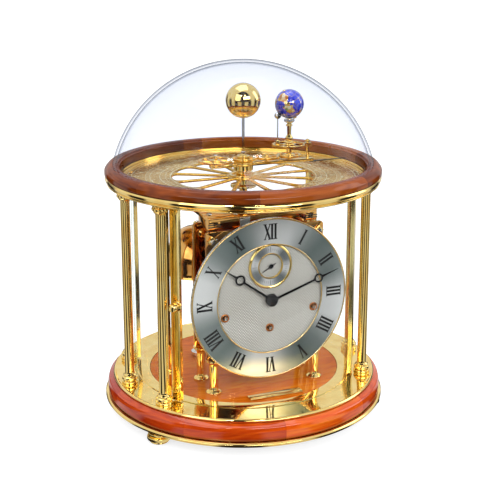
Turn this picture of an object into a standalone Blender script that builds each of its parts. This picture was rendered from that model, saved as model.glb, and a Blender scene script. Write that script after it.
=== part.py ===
"""Domed orrery clock: a round glass case with a clock movement below and a tellurium under a dome.

Metres, +Z up. The origin is on the floor, on the case's axis, and the clock faces -Y.
Angles round the case are measured from the front (-Y) and grow towards +X.
"""
import bmesh
import bpy
from math import acos, cos, degrees, pi, radians, sin, sqrt

MM = 0.001
GAP = 0.3                       # clearance between touching pieces, in mm like every size below

# Case
FOOT_H = 11.0
FOOT_R = 10.0
FOOT_CIRCLE = 111.0
FOOT_ANGLES = (-60, 60, 180)
BASE_R = 122.0
BASE_PLATE_HIGH = 14.7
PLINTH_LOW = 15.0
PLINTH_R = 119.7
BASE_TOP = 32.3
BASE_RING_LOW = 29.3
BASE_RING_R = 115.0
FLOOR_R = 83.0
COLUMN_ANGLES = (-120, -90, -60, 60, 90, 120)
COLUMN_CIRCLE = 104.4
COLUMN_R = 4.0
COLUMN_FOOT_R = 7.0
COLUMN_FOOT_H = 9.5
TOP_LOW = 200.0
TOP_BRASS_HIGH = 207.0
TOP_R = 117.3
TOP_HIGH = 216.0
PLATE_R = 103.0
PLATE_LOW = 201.8
PLATE_HIGH = 204.0
PLATE_OPENING_R = 60.0
PLATE_HUB_R = 13.0
SPOKES = 12
SPOKE_W = 3.4
DOME_SPHERE_R = 114.0
DOME_CENTRE_Z = 188.0
DOME_WALL = 2.5
RING_STEPS = 36

# Glazing and door
GLASS_IN = 94.0
GLASS_OUT = 96.0
GLASS_LOW = BASE_TOP + GAP
GLASS_HIGH = TOP_LOW - GAP
DOOR_EDGE = 56.2                # angle of each stile's middle
STILE_W = 8.9
STILE_IN = 93.2
STILE_OUT = 96.4
HINGE_R = 95.0
KNOB_ANGLE = -54.6
KNOB_Z = 115.0
KNOB_R = 4.0

# Dial and hands
DIAL_Z = 112.2
DIAL_R = 68.5
DIAL_BACK = 57.0                # distances in front of the case's axis
DIAL_FRONT = 59.0
CHAPTER_FRONT = 60.5
CHAPTER_IN = 46.5
SUBDIAL_Z = DIAL_Z + 28.3
SUBDIAL_OUT = 19.0
SUBDIAL_IN = 11.0
MINUTE_LEN = 63.0
MINUTE_EYE = 44.0
HOUR_LEN = 51.0
HOUR_EYE = 34.0
MINUTE_ANGLE = 71.0
HOUR_ANGLE = 306.0
SELECTOR_ANGLE = 240.0

# Movement
FRAME_HALF_W = 52.0
FRAME_LOW = 62.0
FRAME_HIGH = 171.0
FRONT_PLATE_Y = (47.5, 50.0)    # distances in front of the axis
BACK_PLATE_Y = (16.0, 18.5)
LEG_X = 46.0
WINDING = (("chime_barrel", -39.5, -12.0), ("going_barrel", 0.0, -25.3), ("strike_barrel", 39.5, -12.0))
BARREL_R = 12.0
ARBOR_R = 1.7
ARBOR_TIP = 61.8
BALANCE_X = 24.0
BALANCE_Z = 150.0
BALANCE_R = 10.0
BELL_X = -30.0
BELL_Y = 35.0
BELL_RIM_Z = 113.0
BELL_R = 29.0
BELL_RISE = 40.0
SMALL_BELL_R = 20.0
SMALL_BELL_RISE = 30.0
SMALL_BELL_RIM_Z = 117.0
BELL_WALL = 1.4
BELL_BORE = 2.6
HAMMER_X = -30.0
HAMMER_Y = -7.0
HAMMER_Z = 92.0

# Tellurium
MODULE = 0.8
CENTRE_TEETH = 26
IDLER_TEETH = 27
LEFT_TEETH = 36
MOON_TEETH = 36
PINION_TEETH = 8
WHEEL_LOW = 217.0
WHEEL_HIGH = 219.0
MOON_WHEEL_LOW = 226.0
MOON_WHEEL_HIGH = 228.0
IDLER_X = (CENTRE_TEETH + IDLER_TEETH) * MODULE / 2
EARTH_X = 2 * IDLER_X
LEFT_X = -(CENTRE_TEETH + LEFT_TEETH) * MODULE / 2
PINION_X = EARTH_X + (MOON_TEETH + PINION_TEETH) * MODULE / 2
ARM_LOW = 212.0
ARM_HIGH = 214.5
ARM_W = 8.0
SUN_R = 14.8
SUN_Z = 268.0
SUN_ROD_R = 1.2
TUBE_R = 3.4
EARTH_R = 12.5
EARTH_Z = 262.6
EARTH_TILT = 23.5
STEM_R = 2.3
MOON_R = 3.0
MOON_Z = 254.0
MOON_ORBIT = 13.6
MOON_ANGLE = 200.0              # plan angle of the moon from +X, at rest


def collection(name):
    """A new collection linked to the scene."""
    made = bpy.data.collections.new(name)
    bpy.context.scene.collection.children.link(made)
    return made


def finish(name, colour, metallic=0.0, roughness=0.3, transmission=0.0):
    """One Principled material."""
    material = bpy.data.materials.new(name)
    material.use_nodes = True
    shader = material.node_tree.nodes["Principled BSDF"]
    shader.inputs["Base Color"].default_value = (*colour, 1.0)
    shader.inputs["Metallic"].default_value = metallic
    shader.inputs["Roughness"].default_value = roughness
    shader.inputs["Transmission Weight"].default_value = transmission
    return material


def place(item, material, at=(0, 0, 0), turn=(0, 0, 0), group=None):
    """Link an object, give it its material, and put it at a place in millimetres."""
    (group or PARTS).objects.link(item)
    item.data.materials.append(material)
    item.location = [value * MM for value in at]
    item.rotation_euler = [radians(angle) for angle in turn]
    return item


def turned(name, profile, material, at=(0, 0, 0), turn=(0, 0, 0), steps=RING_STEPS, closed=False, group=None):
    """A turned solid: (radius, height) points run down the outer side, as a Screw profile."""
    mesh = bpy.data.meshes.new(name)
    points = [(radius * MM, 0, height * MM) for radius, height in profile]
    edges = [(i, i + 1) for i in range(len(points) - 1)]
    if closed:
        edges.append((len(points) - 1, 0))
    mesh.from_pydata(points, edges, [])
    item = place(bpy.data.objects.new(name, mesh), material, at, turn, group)
    screw = item.modifiers.new("turn", "SCREW")
    screw.steps = steps
    screw.render_steps = steps
    screw.use_merge_vertices = True
    screw.merge_threshold = 0.00001
    screw.use_smooth_shade = False
    return item


def ring(name, inner, outer, low, high, material, **options):
    """A plain flat ring."""
    profile = [(outer, high), (outer, low), (inner, low), (inner, high)]
    return turned(name, profile, material, closed=True, **options)


def pin(name, radius, low, high, material, **options):
    """A plain round bar along its own Z."""
    profile = [(0, high), (radius, high), (radius, low), (0, low)]
    return turned(name, profile, material, **options)


def ball(name, radius, material, steps=20, **options):
    """A turned ball round its own origin."""
    half = steps // 2
    profile = [(radius * sin(pi * i / half), radius * cos(pi * i / half)) for i in range(half + 1)]
    profile[0] = (0, radius)
    profile[-1] = (0, -radius)
    return turned(name, profile, material, steps=steps, **options)


def box(name, low, high, material, group=None, at=(0, 0, 0)):
    """A box between two corners, given from its own origin."""
    bpy.ops.mesh.primitive_cube_add(size=1)
    item = bpy.context.object
    item.name = name
    for owner in list(item.users_collection):
        owner.objects.unlink(item)
    for vertex in item.data.vertices:
        vertex.co = [(a + b) / 2 * MM + (b - a) * MM * c for a, b, c in zip(low, high, vertex.co)]
    return place(item, material, at, group=group)


def flat(name, outlines, low, high, material, at=(0, 0, 0), turn=(0, 0, 0), group=None):
    """A flat plate: closed outlines in its own XY plane, the later ones being holes."""
    curve = bpy.data.curves.new(name, "CURVE")
    curve.dimensions = "2D"
    curve.fill_mode = "BOTH"
    curve.extrude = (high - low) / 2 * MM
    for outline in outlines:
        spline = curve.splines.new("POLY")
        spline.points.add(len(outline) - 1)
        for point, (x, y) in zip(spline.points, outline):
            point.co = (x * MM, y * MM, 0, 1)
        spline.use_cyclic_u = True
    item = bpy.data.objects.new(name, curve)
    place(item, material, at, turn, group)
    middle = (low + high) / 2
    shift = (0, -middle, 0) if turn[0] else (0, 0, middle)
    item.location = [(a + b) * MM for a, b in zip(at, shift)]
    return item


def as_mesh(item):
    """A curve object made a mesh object with its caps welded."""
    bpy.context.view_layer.update()
    evaluated = item.evaluated_get(bpy.context.evaluated_depsgraph_get())
    mesh = bpy.data.meshes.new_from_object(evaluated)
    shape = bmesh.new()
    shape.from_mesh(mesh)
    bmesh.ops.remove_doubles(shape, verts=shape.verts, dist=0.000001)
    shape.to_mesh(mesh)
    shape.free()
    name = item.name
    made = bpy.data.objects.new(name, mesh)
    made.matrix_world = item.matrix_world
    for owner in list(item.users_collection):
        owner.objects.link(made)
    bpy.data.objects.remove(item)
    made.name = name
    return made


def combine(target, others, operation="UNION"):
    """Join or cut a piece with helper solids, which stay out of the model."""
    for other in others:
        other.hide_render = True
        other.display_type = "WIRE"
        step = target.modifiers.new(other.name, "BOOLEAN")
        step.operation = operation
        step.object = other
        step.solver = "EXACT"
    return target


def hinge_at(items, at):
    """Parent pieces to an empty that stands on their joint's axis, without moving them."""
    empty = bpy.data.objects.new(items[0].name + "_axis", None)
    PARTS.objects.link(empty)
    empty.location = [value * MM for value in at]
    for item in items:
        item.parent = empty
        item.location = [a - b * MM for a, b in zip(item.location, at)]


def circle(radius, x=0.0, y=0.0, steps=12):
    """Points round a circle."""
    return [(x + radius * cos(2 * pi * i / steps), y + radius * sin(2 * pi * i / steps)) for i in range(steps)]


def around(radius, angle):
    """A point round the case: the angle runs from the front towards +X."""
    return radius * sin(radians(angle)), -radius * cos(radians(angle))


def arc_band(inner, outer, start, end, steps):
    """The plan of an upright curved panel between two angles."""
    angles = [start + (end - start) * i / steps for i in range(steps + 1)]
    return [around(outer, angle) for angle in angles] + [around(inner, angle) for angle in reversed(angles)]


def gear_outline(teeth, turned_by=0.0):
    """A spur wheel's outline with flat-topped teeth; turned_by is in tooth pitches."""
    pitch_r = teeth * MODULE / 2
    tip_r = pitch_r + 0.8 * MODULE
    root_r = pitch_r - 1.1 * MODULE
    step = 2 * pi / teeth
    points = []
    for i in range(teeth):
        middle = (i + turned_by) * step
        for radius, share in ((root_r, -0.27), (tip_r, -0.10), (tip_r, 0.10), (root_r, 0.27)):
            angle = middle + share * step
            points.append((radius * cos(angle), radius * sin(angle)))
    return points


def gear(name, teeth, bore, low, high, at, turned_by=0.0):
    """A spur wheel with a round bore, on an upright axis."""
    outlines = [gear_outline(teeth, turned_by), circle(bore)]
    return flat(name, outlines, low, high, BRASS, at=(*at, 0))


def build_base():
    """Bottom plate, wooden plinth, brass ring, floor, nameplate and feet."""
    turned("base_plate", [(0, BASE_PLATE_HIGH), (BASE_R - 2, BASE_PLATE_HIGH), (BASE_R, BASE_PLATE_HIGH - 1.3),
                          (BASE_R, FOOT_H + 1.2), (BASE_R - 2, FOOT_H), (0, FOOT_H)], BRASS)
    side = [(PLINTH_R - 4.7, 29.0), (PLINTH_R - 1.4, 27.6), (PLINTH_R, 24.0), (PLINTH_R, 18.0),
            (PLINTH_R - 1.2, PLINTH_LOW)]
    turned("wood_plinth", side + [(78, PLINTH_LOW), (78, 29.0)], WOOD, closed=True)
    turned("base_ring", [(112.5, BASE_TOP), (114.6, 31.6), (BASE_RING_R, 30.6), (114.4, BASE_RING_LOW),
                         (FLOOR_R, BASE_RING_LOW), (FLOOR_R, BASE_TOP)], BRASS, closed=True)
    pin("floor_panel", FLOOR_R - GAP, BASE_RING_LOW, BASE_TOP - GAP, FLOOR_WOOD)
    box("name_plate", (-23.5, -76.5, BASE_TOP), (23.5, -67.5, BASE_TOP + 1.2), BRASS)
    for number, angle in enumerate(FOOT_ANGLES, 1):
        profile = [(0, FOOT_H - GAP), (5, FOOT_H - GAP), (FOOT_R - 1.5, 8.5), (FOOT_R, 5.5), (FOOT_R - 2, 2),
                   (FOOT_R - 4, 0), (0, 0)]
        turned(f"foot_{number}", profile, BRASS, at=(*around(FOOT_CIRCLE, angle), 0), steps=16)


def build_columns():
    """Six turned brass columns with the same moulding at both ends."""
    low = BASE_TOP + GAP
    high = TOP_LOW - GAP
    half = [(COLUMN_FOOT_R - 1, 0), (COLUMN_FOOT_R, 1.5), (COLUMN_FOOT_R - 0.5, 5.0), (COLUMN_R + 0.6, 6.5),
            (COLUMN_R, COLUMN_FOOT_H)]
    upper = [(radius, high - height) for radius, height in half]
    lower = [(radius, low + height) for radius, height in reversed(half)]
    profile = [(0, high)] + upper + lower + [(0, low)]
    for number, angle in enumerate(COLUMN_ANGLES, 1):
        turned(f"column_{number}", profile, BRASS, at=(*around(COLUMN_CIRCLE, angle), 0), steps=12)


def slot_outline(middle):
    """One opening between two spokes, with a rounded outer end."""
    half = pi / SPOKES
    edge = SPOKE_W / 2
    corner = 8.0
    reach = PLATE_OPENING_R
    points = []
    for side in (1, -1):
        along = middle - side * half
        offset = side * edge
        stations = [PLATE_HUB_R + 3.5, reach - corner, reach - corner * 0.35]
        ray = []
        for index, distance in enumerate(stations):
            extra = offset * (1 if index < 2 else 2.3)
            across = (-sin(along) * extra, cos(along) * extra)
            ray.append((distance * cos(along) + across[0], distance * sin(along) + across[1]))
        points += ray if side == 1 else ray[::-1]
        if side == 1:
            points += [(reach * cos(middle + t * half), reach * sin(middle + t * half))
                       for t in (-0.55, 0.0, 0.55)]
    return points


def build_top():
    """Brass moulding, wooden ring, slotted calendar plate and lift-off dome."""
    turned("top_ring_brass", [(TOP_R - 1.0, TOP_BRASS_HIGH), (TOP_R, 205.6), (TOP_R - 0.8, 203.4), (TOP_R - 2.2, 201.0),
                              (108, TOP_LOW), (98, TOP_LOW), (98, PLATE_LOW - GAP),
                              (PLATE_R + GAP, PLATE_LOW - GAP), (PLATE_R + GAP, TOP_BRASS_HIGH)],
           BRASS, closed=True)
    low = TOP_BRASS_HIGH + GAP
    turned("top_ring_wood", [(TOP_R - 4.5, TOP_HIGH), (TOP_R - 1.3, 214.6), (TOP_R, 211.5), (TOP_R, low),
                             (104.5, low), (104.5, TOP_HIGH)], WOOD, closed=True)
    slots = [slot_outline(2 * pi * (i + 0.5) / SPOKES) for i in range(SPOKES)]
    outlines = [circle(PLATE_R, steps=RING_STEPS), circle(6.5)] + slots
    flat("calendar_plate", outlines, PLATE_LOW, PLATE_HIGH, BRASS)

    foot = TOP_HIGH + GAP - DOME_CENTRE_Z
    rings = 7
    profile = []
    for radius, direction in ((DOME_SPHERE_R, 1), (DOME_SPHERE_R - DOME_WALL, -1)):
        end = acos(foot / radius)
        side = [(radius * sin(end * i / rings), radius * cos(end * i / rings)) for i in range(rings + 1)]
        side[0] = (0, radius)
        profile += side[::direction]
    turned("dome", profile, ACRYLIC, at=(0, 0, DOME_CENTRE_Z))


def build_glazing():
    """Three fixed curved panes and the hinged front door with its stiles and knob."""
    for name, start, end, steps in (("glass_left", -119, -61, 8), ("glass_right", 61, 119, 8),
                                    ("glass_rear", 121, 239, 14)):
        flat(name, [arc_band(GLASS_IN, GLASS_OUT, start, end, steps)], GLASS_LOW, GLASS_HIGH, GLASS)
    half = degrees(STILE_W / 2 / HINGE_R)
    edge = DOOR_EDGE - half - 0.2
    door = [flat("door_glass", [arc_band(GLASS_IN, GLASS_OUT, -edge, edge, 14)], GLASS_LOW, GLASS_HIGH, GLASS)]
    for name, angle in (("door_stile_left", -DOOR_EDGE), ("door_stile_right", DOOR_EDGE)):
        band = arc_band(STILE_IN, STILE_OUT, angle - half, angle + half, 3)
        door.append(flat(name, [band], GLASS_LOW, GLASS_HIGH, BRASS))
    start = STILE_OUT + GAP
    knob = [(0, start + 9.0), (2.6, start + 8.4), (KNOB_R, start + 5.5), (KNOB_R - 1.2, start + 2.8),
            (1.8, start + 1.6), (4.2, start + 1.0), (4.2, start), (0, start)]
    door.append(turned("door_knob", knob, BRASS, at=(0, 0, KNOB_Z), turn=(90, 0, KNOB_ANGLE), steps=16))
    hinge_at(door, (*around(HINGE_R, DOOR_EDGE), GLASS_LOW))


def build_frame():
    """Movement plates on four legs, with the pillars that hold them apart."""
    for name, (rear, front), bore in (("front_plate", FRONT_PLATE_Y, ARBOR_R + 0.4),
                                      ("back_plate", BACK_PLATE_Y, ARBOR_R + 0.1)):
        shape = [(-FRAME_HALF_W, FRAME_LOW), (FRAME_HALF_W, FRAME_LOW), (FRAME_HALF_W, FRAME_HIGH),
                 (-FRAME_HALF_W, FRAME_HIGH)]
        holes = [circle(bore, x, DIAL_Z + z) for _, x, z in WINDING]
        if name == "front_plate":
            holes.append(circle(1.7, 0, DIAL_Z))
        else:
            holes.append(circle(1.3, BALANCE_X, BALANCE_Z))
        plate = as_mesh(flat(name, [shape] + holes, rear, front, BRASS, turn=(90, 0, 0)))
        if name == "back_plate":
            ends = ((-44, 70), (44, 70), (-44, 163), (44, 163))
            pillars = [pin(f"pillar_{i}", 3.0, 18.0, 47.2, BRASS, at=(x, 0, z), turn=(90, 0, 0), steps=10,
                           group=CUTTERS) for i, (x, z) in enumerate(ends)]
            lug = box("hammer_lug", (-39, -16.5, 88), (-35, HAMMER_Y + 3, 96), BRASS, group=CUTTERS)
            stud = pin("hammer_stud", 1.0, 0, 12, BRASS, at=(-37, HAMMER_Y, HAMMER_Z), turn=(0, 90, 0),
                       steps=10, group=CUTTERS)
            combine(plate, pillars + [lug, stud])
    low = BASE_TOP
    high = FRAME_LOW - GAP
    leg = [(0, high), (6, high), (6.5, high - 1.5), (6, high - 3), (3.5, high - 5), (3.5, low + 5), (6, low + 3),
           (6.5, low + 1.5), (6, low), (0, low)]
    spots = [(x, y) for y in (-48.7, -17.2) for x in (-LEG_X, LEG_X)]
    for number, spot in enumerate(spots, 1):
        turned(f"movement_leg_{number}", leg, BRASS, at=(*spot, 0), steps=10)


def build_dial():
    """Dial plate, silvered chapter ring and the selector's small ring."""
    holes = [circle(3.2, x, DIAL_Z + z) for _, x, z in WINDING]
    plate = [circle(DIAL_R, 0, DIAL_Z, 48), circle(1.7, 0, DIAL_Z)] + holes
    flat("dial_plate", plate, DIAL_BACK, DIAL_FRONT, GUILLOCHE, turn=(90, 0, 0))
    front = DIAL_FRONT + GAP
    ring("chapter_ring", CHAPTER_IN, DIAL_R - 0.3, front, CHAPTER_FRONT, SILVER, at=(0, 0, DIAL_Z),
         turn=(90, 0, 0), steps=48)
    ring("selector_ring", SUBDIAL_IN, SUBDIAL_OUT - 0.9, front, CHAPTER_FRONT, SILVER, at=(0, 0, SUBDIAL_Z),
         turn=(90, 0, 0), steps=32)


def hand_outline(length, eye, eye_r, hub_r, width):
    """A hand that points up: round hub, thin blade, a ring with an eye, and a fine tip."""
    w = width / 2
    right = [(w, sqrt(hub_r ** 2 - w ** 2)), (w, eye - eye_r)]
    bulge = [(eye_r * sin(a), eye - eye_r * cos(a)) for a in (radians(t) for t in range(30, 180, 30))]
    right += bulge + [(w * 0.8, eye + eye_r), (w * 0.4, length)]
    left = [(-x, y) for x, y in reversed(right)]
    hub = [(hub_r * sin(radians(t)), hub_r * cos(radians(t))) for t in range(330, 29, -30)]
    return right + left + hub


def build_hands():
    """Minute, hour and selector hands, each on its own axis."""
    minute = as_mesh(flat("minute_hand", [hand_outline(MINUTE_LEN, MINUTE_EYE, 3.9, 5.2, 1.8),
                                          circle(2.3, 0, MINUTE_EYE, 10)], 64.2, 65.0, BLACK,
                          at=(0, 0, DIAL_Z), turn=(90, MINUTE_ANGLE, 0)))
    arbor = pin("minute_arbor", 1.2, 46.0, 66.5, STEEL, at=(0, 0, DIAL_Z), turn=(90, 0, 0), steps=12,
                group=CUTTERS)
    combine(minute, [arbor])
    flat("hour_hand", [hand_outline(HOUR_LEN, HOUR_EYE, 4.3, 5.4, 1.8), circle(1.6, 0, 0, 12),
                       circle(2.6, 0, HOUR_EYE, 10)], 62.4, 63.2, BLACK, at=(0, 0, DIAL_Z),
         turn=(90, HOUR_ANGLE, 0))
    selector = [(3.0 * sin(radians(t)), 3.0 * cos(radians(t))) for t in range(15, 346, 30)]
    blade = [(-0.4, 2.97), (-0.3, 9.6), (0.3, 9.6), (0.4, 2.97)]
    flat("selector_hand", [blade + selector], 61.4, 62.1, BLACK, at=(0, 0, SUBDIAL_Z),
         turn=(90, SELECTOR_ANGLE, 0))


def build_movement():
    """Three spring barrels with their winding arbors, the balance and the strike work."""
    for name, x, z in WINDING:
        profile = [(0, ARBOR_TIP), (ARBOR_R, ARBOR_TIP), (ARBOR_R, 46.5), (BARREL_R, 46.5), (BARREL_R, 27.0),
                   (BARREL_R + 1.2, 27.0), (BARREL_R + 1.2, 24.5), (ARBOR_R + 1, 24.5), (ARBOR_R - 0.2, 21.0),
                   (ARBOR_R - 0.2, 15.0), (0, 15.0)]
        turned(name, profile, BRASS, at=(x, 0, DIAL_Z + z), turn=(90, 0, 0), steps=18)
    rim = [(0, 17.0), (0.8, 17.0), (0.8, 13.0), (BALANCE_R, 13.0), (BALANCE_R, 10.0), (0.8, 10.0), (0.8, 6.0),
           (0, 6.0)]
    turned("balance_wheel", rim, BRASS, at=(BALANCE_X, 0, BALANCE_Z), turn=(90, 0, 0), steps=20)
    for name, radius, rim_z, rise in (("large_bell", BELL_R, BELL_RIM_Z, BELL_RISE),
                                      ("small_bell", SMALL_BELL_R, SMALL_BELL_RIM_Z, SMALL_BELL_RISE)):
        turned(name, bell_profile(radius, rise), BRASS, at=(BELL_X, BELL_Y, rim_z), steps=20, closed=True)
    top = BELL_RIM_Z + BELL_RISE + 5
    post = [(0, top), (1.6, top), (1.6, 141.0), (2.2, 138.0), (2.2, 40.0), (7, 36.0), (7, BASE_TOP), (0, BASE_TOP)]
    turned("bell_post", post, STEEL, at=(BELL_X, BELL_Y, 0), steps=12)
    sleeve = turned("bell_hammer", [(2.2, 3.0), (2.2, -3.0), (1.3, -3.0), (1.3, 3.0)], STEEL,
                    at=(HAMMER_X, HAMMER_Y, HAMMER_Z), turn=(0, 90, 0), steps=12, closed=True)
    lever = box("hammer_lever", (-1, -0.8, 1.8), (1, 0.8, 25), STEEL, group=CUTTERS,
                at=(HAMMER_X, HAMMER_Y, HAMMER_Z))
    head = pin("hammer_head", 3.0, -11.0, 2.0, STEEL, at=(HAMMER_X, HAMMER_Y, HAMMER_Z + 26), turn=(90, 0, 0),
               steps=12, group=CUTTERS)
    combine(sleeve, [lever, head])


def bell_profile(radius, rise):
    """A bell's wall from its crown to its rim and back, with a hole for the post."""
    count = 6
    angles = [pi / 2 * i / count for i in range(1, count + 1)]
    outer = [(radius * sin(t), rise * cos(t)) for t in angles] + [(radius + 0.6, -1.0)]
    inner = [(r - BELL_WALL, z - BELL_WALL * (z > 1)) for r, z in outer]
    return [(BELL_BORE, rise)] + outer + inner[::-1] + [(BELL_BORE, rise - BELL_WALL)]


def build_bridge():
    """The bridge that carries the drive from the movement up to the tellurium."""
    plate = box("drive_bridge", (-48, -46, 178), (48, -4, 181), BRASS)
    cheeks = [box(f"cheek_{i}", (x, -46, FRAME_HIGH + GAP), (x + 10, -20, 179), BRASS, group=CUTTERS)
              for i, x in enumerate((-48, 38))]
    tower = box("bridge_tower", (-9, -9, 177), (9, 9, 184), BRASS, group=CUTTERS)
    combine(plate, cheeks + [tower])


def build_tellurium():
    """Fixed centre tube, wheel, sun rod and sun, and the arm that carries earth and moon."""
    tube_low = 184 + GAP
    rod = [(0, SUN_Z - SUN_R - GAP), (SUN_ROD_R, SUN_Z - SUN_R - GAP), (SUN_ROD_R, 224.0), (TUBE_R, 222.0),
           (TUBE_R, tube_low), (0, tube_low)]
    turned("sun_rod", rod, STEEL, steps=12)
    ball("sun", SUN_R, GOLD, steps=20, at=(0, 0, SUN_Z))
    gear("centre_wheel", CENTRE_TEETH, TUBE_R + GAP, WHEEL_LOW, WHEEL_HIGH, (0, 0))

    arm = turned("orrery_arm", [(8.5, 215.6), (8.5, ARM_LOW - 3), (6.0, ARM_LOW - 4), (6.0, 196.0), (11.0, 196.0),
                                (11.0, 194.0), (TUBE_R + 0.4, 194.0), (TUBE_R + 0.4, 215.6)], BRASS,
                 steps=20, closed=True)
    right = box("arm_right", (7, -ARM_W / 2, ARM_LOW), (PINION_X + 5, ARM_W / 2, ARM_HIGH), BRASS, group=CUTTERS)
    left = box("arm_left", (LEFT_X - 5, -ARM_W / 2, ARM_LOW), (-7, ARM_W / 2, ARM_HIGH), BRASS, group=CUTTERS)
    posts = [pin(f"post_{i}", radius, ARM_LOW + 1, high, BRASS, at=(x, 0, 0), steps=10, group=CUTTERS)
             for i, (x, radius, high) in enumerate(((IDLER_X, 1.2, 221), (LEFT_X, 1.8, 223), (PINION_X, 1.2, 231)))]
    combine(arm, [right, left] + posts)
    combine(arm, [pin("stem_hole", 1.6, 205, 218, BRASS, at=(EARTH_X, 0, 0), steps=12, group=CUTTERS)],
            "DIFFERENCE")
    pointer = [(PINION_X + 2, -1.2), (PINION_X + 18, -0.6), (97, -0.3), (97, 0.3), (PINION_X + 18, 0.6),
               (PINION_X + 2, 1.2)]
    flat("date_pointer", [pointer], ARM_LOW - 1.5, ARM_LOW - GAP, BLACK)
    gear("idler_wheel", IDLER_TEETH, 1.5, WHEEL_LOW, WHEEL_HIGH, (IDLER_X, 0), turned_by=0.0)
    gear("left_wheel", LEFT_TEETH, 2.1, WHEEL_LOW, WHEEL_HIGH, (LEFT_X, 0), turned_by=0.5)
    gear("earth_wheel", CENTRE_TEETH, STEM_R + GAP, WHEEL_LOW, WHEEL_HIGH, (EARTH_X, 0), turned_by=0.5)

    top = EARTH_Z - EARTH_R - GAP
    stem = [(0, top), (1.6, top), (4.6, top - 1.0), (4.6, top - 3.5), (2.0, top - 5.5), (1.8, 236.0), (3.4, 233.0),
            (3.4, MOON_WHEEL_HIGH + GAP), (STEM_R, MOON_WHEEL_HIGH + GAP), (STEM_R, 216.0), (1.2, 215.0),
            (1.2, ARM_LOW), (0, ARM_LOW)]
    turned("earth_stem", stem, BRASS, at=(EARTH_X, 0, 0), steps=14)
    globe = ball("earth_globe", EARTH_R, LAPIS, steps=20, at=(EARTH_X, 0, EARTH_Z))
    globe.rotation_euler = (0, radians(-EARTH_TILT), 0)

    gear("moon_wheel", MOON_TEETH, STEM_R + GAP, MOON_WHEEL_LOW, MOON_WHEEL_HIGH, (EARTH_X, 0))
    low = MOON_WHEEL_HIGH + GAP
    moon_x = EARTH_X + MOON_ORBIT * cos(radians(MOON_ANGLE))
    moon_y = MOON_ORBIT * sin(radians(MOON_ANGLE))
    stand = [(0, MOON_Z - MOON_R - GAP), (0.6, MOON_Z - MOON_R - GAP), (0.6, low + 2.5), (1.5, low + 2.0),
             (1.5, low), (0, low)]
    rod = turned("moon_rod", stand, STEEL, at=(moon_x, moon_y, 0), steps=10)
    moon = ball("moon", MOON_R, MOON_SILVER, steps=14, at=(moon_x, moon_y, MOON_Z))
    hinge_at([rod, moon], (EARTH_X, 0, 0))
    gear("moon_pinion", PINION_TEETH, 1.5, MOON_WHEEL_LOW - 0.5, MOON_WHEEL_HIGH, (PINION_X, 0),
         turned_by=0.5)


for leftover in list(bpy.data.objects):
    bpy.data.objects.remove(leftover)
PARTS = collection("orrery_clock")
CUTTERS = collection("cutters")
BRASS = finish("brass", (0.90, 0.66, 0.25), 1.0, 0.12)
GOLD = finish("gold", (0.95, 0.72, 0.28), 1.0, 0.05)
STEEL = finish("steel", (0.72, 0.70, 0.66), 1.0, 0.2)
WOOD = finish("cherry", (0.47, 0.12, 0.03), 0.0, 0.15)
FLOOR_WOOD = finish("floor_veneer", (0.75, 0.25, 0.04), 0.0, 0.12)
SILVER = finish("silver", (0.70, 0.73, 0.71), 1.0, 0.35)
GUILLOCHE = finish("guilloche", (0.86, 0.86, 0.78), 0.6, 0.4)
BLACK = finish("black", (0.01, 0.01, 0.01), 0.0, 0.25)
LAPIS = finish("lapis", (0.02, 0.06, 0.45), 0.0, 0.1)
MOON_SILVER = finish("moon_silver", (0.8, 0.8, 0.8), 0.8, 0.2)
GLASS = finish("glass", (0.95, 0.98, 0.97), 0.0, 0.02, 1.0)
ACRYLIC = finish("acrylic", (0.97, 0.98, 1.0), 0.0, 0.02, 1.0)

build_base()
build_columns()
build_top()
build_glazing()
build_frame()
build_dial()
build_hands()
build_movement()
build_bridge()
build_tellurium()
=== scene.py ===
"""Finished surfaces, light and camera for the domed orrery clock.

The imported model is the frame: each finished piece takes its place from a CAD node's box, rides on
that node's body and stands for it. Sizes are millimetres until a piece is written out as a mesh.
Angles round the case run from the front (-Y) towards +X.
"""
import logging
from dataclasses import dataclass
from enum import Enum
from math import acos, cos, degrees, pi, radians, sin, sqrt, tan

import bmesh
import bpy
from mathutils import Matrix, Vector


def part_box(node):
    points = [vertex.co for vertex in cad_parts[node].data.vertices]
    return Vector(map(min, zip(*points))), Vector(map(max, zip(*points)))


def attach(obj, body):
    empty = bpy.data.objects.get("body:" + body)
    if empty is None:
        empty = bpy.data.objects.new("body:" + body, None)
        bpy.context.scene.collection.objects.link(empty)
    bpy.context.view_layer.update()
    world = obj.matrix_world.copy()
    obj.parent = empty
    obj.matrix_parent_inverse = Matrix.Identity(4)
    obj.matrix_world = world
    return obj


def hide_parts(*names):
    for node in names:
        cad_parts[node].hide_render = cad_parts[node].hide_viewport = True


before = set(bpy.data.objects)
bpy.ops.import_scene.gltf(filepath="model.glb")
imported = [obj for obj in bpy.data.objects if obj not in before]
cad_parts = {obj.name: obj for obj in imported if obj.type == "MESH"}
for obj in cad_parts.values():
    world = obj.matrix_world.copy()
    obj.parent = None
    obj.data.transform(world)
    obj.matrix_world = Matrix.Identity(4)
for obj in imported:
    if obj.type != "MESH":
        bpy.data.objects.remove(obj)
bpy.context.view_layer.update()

LOG = logging.getLogger("orrery")
MM = 0.001
IDENTITY = Matrix.Identity(4)
Outline = list[tuple[float, ...]]
Colour = tuple[float, float, float]


# ---------------------------------------------------------------- places

@dataclass(frozen=True)
class Seat:
    """The room that a CAD node takes, in millimetres."""

    low: Vector
    high: Vector

    @classmethod
    def of(cls, node: str) -> "Seat":
        """Read a node's box from the frame."""
        low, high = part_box(node)
        return cls(low / MM, high / MM)

    @property
    def centre(self) -> Vector:
        """The middle of the box."""
        return (self.low + self.high) / 2

    @property
    def radius(self) -> float:
        """Half of the box's width."""
        return (self.high.x - self.low.x) / 2


def shift(x: float = 0, y: float = 0, z: float = 0) -> Matrix:
    """A move, in millimetres."""
    return Matrix.Translation((x, y, z))


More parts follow.
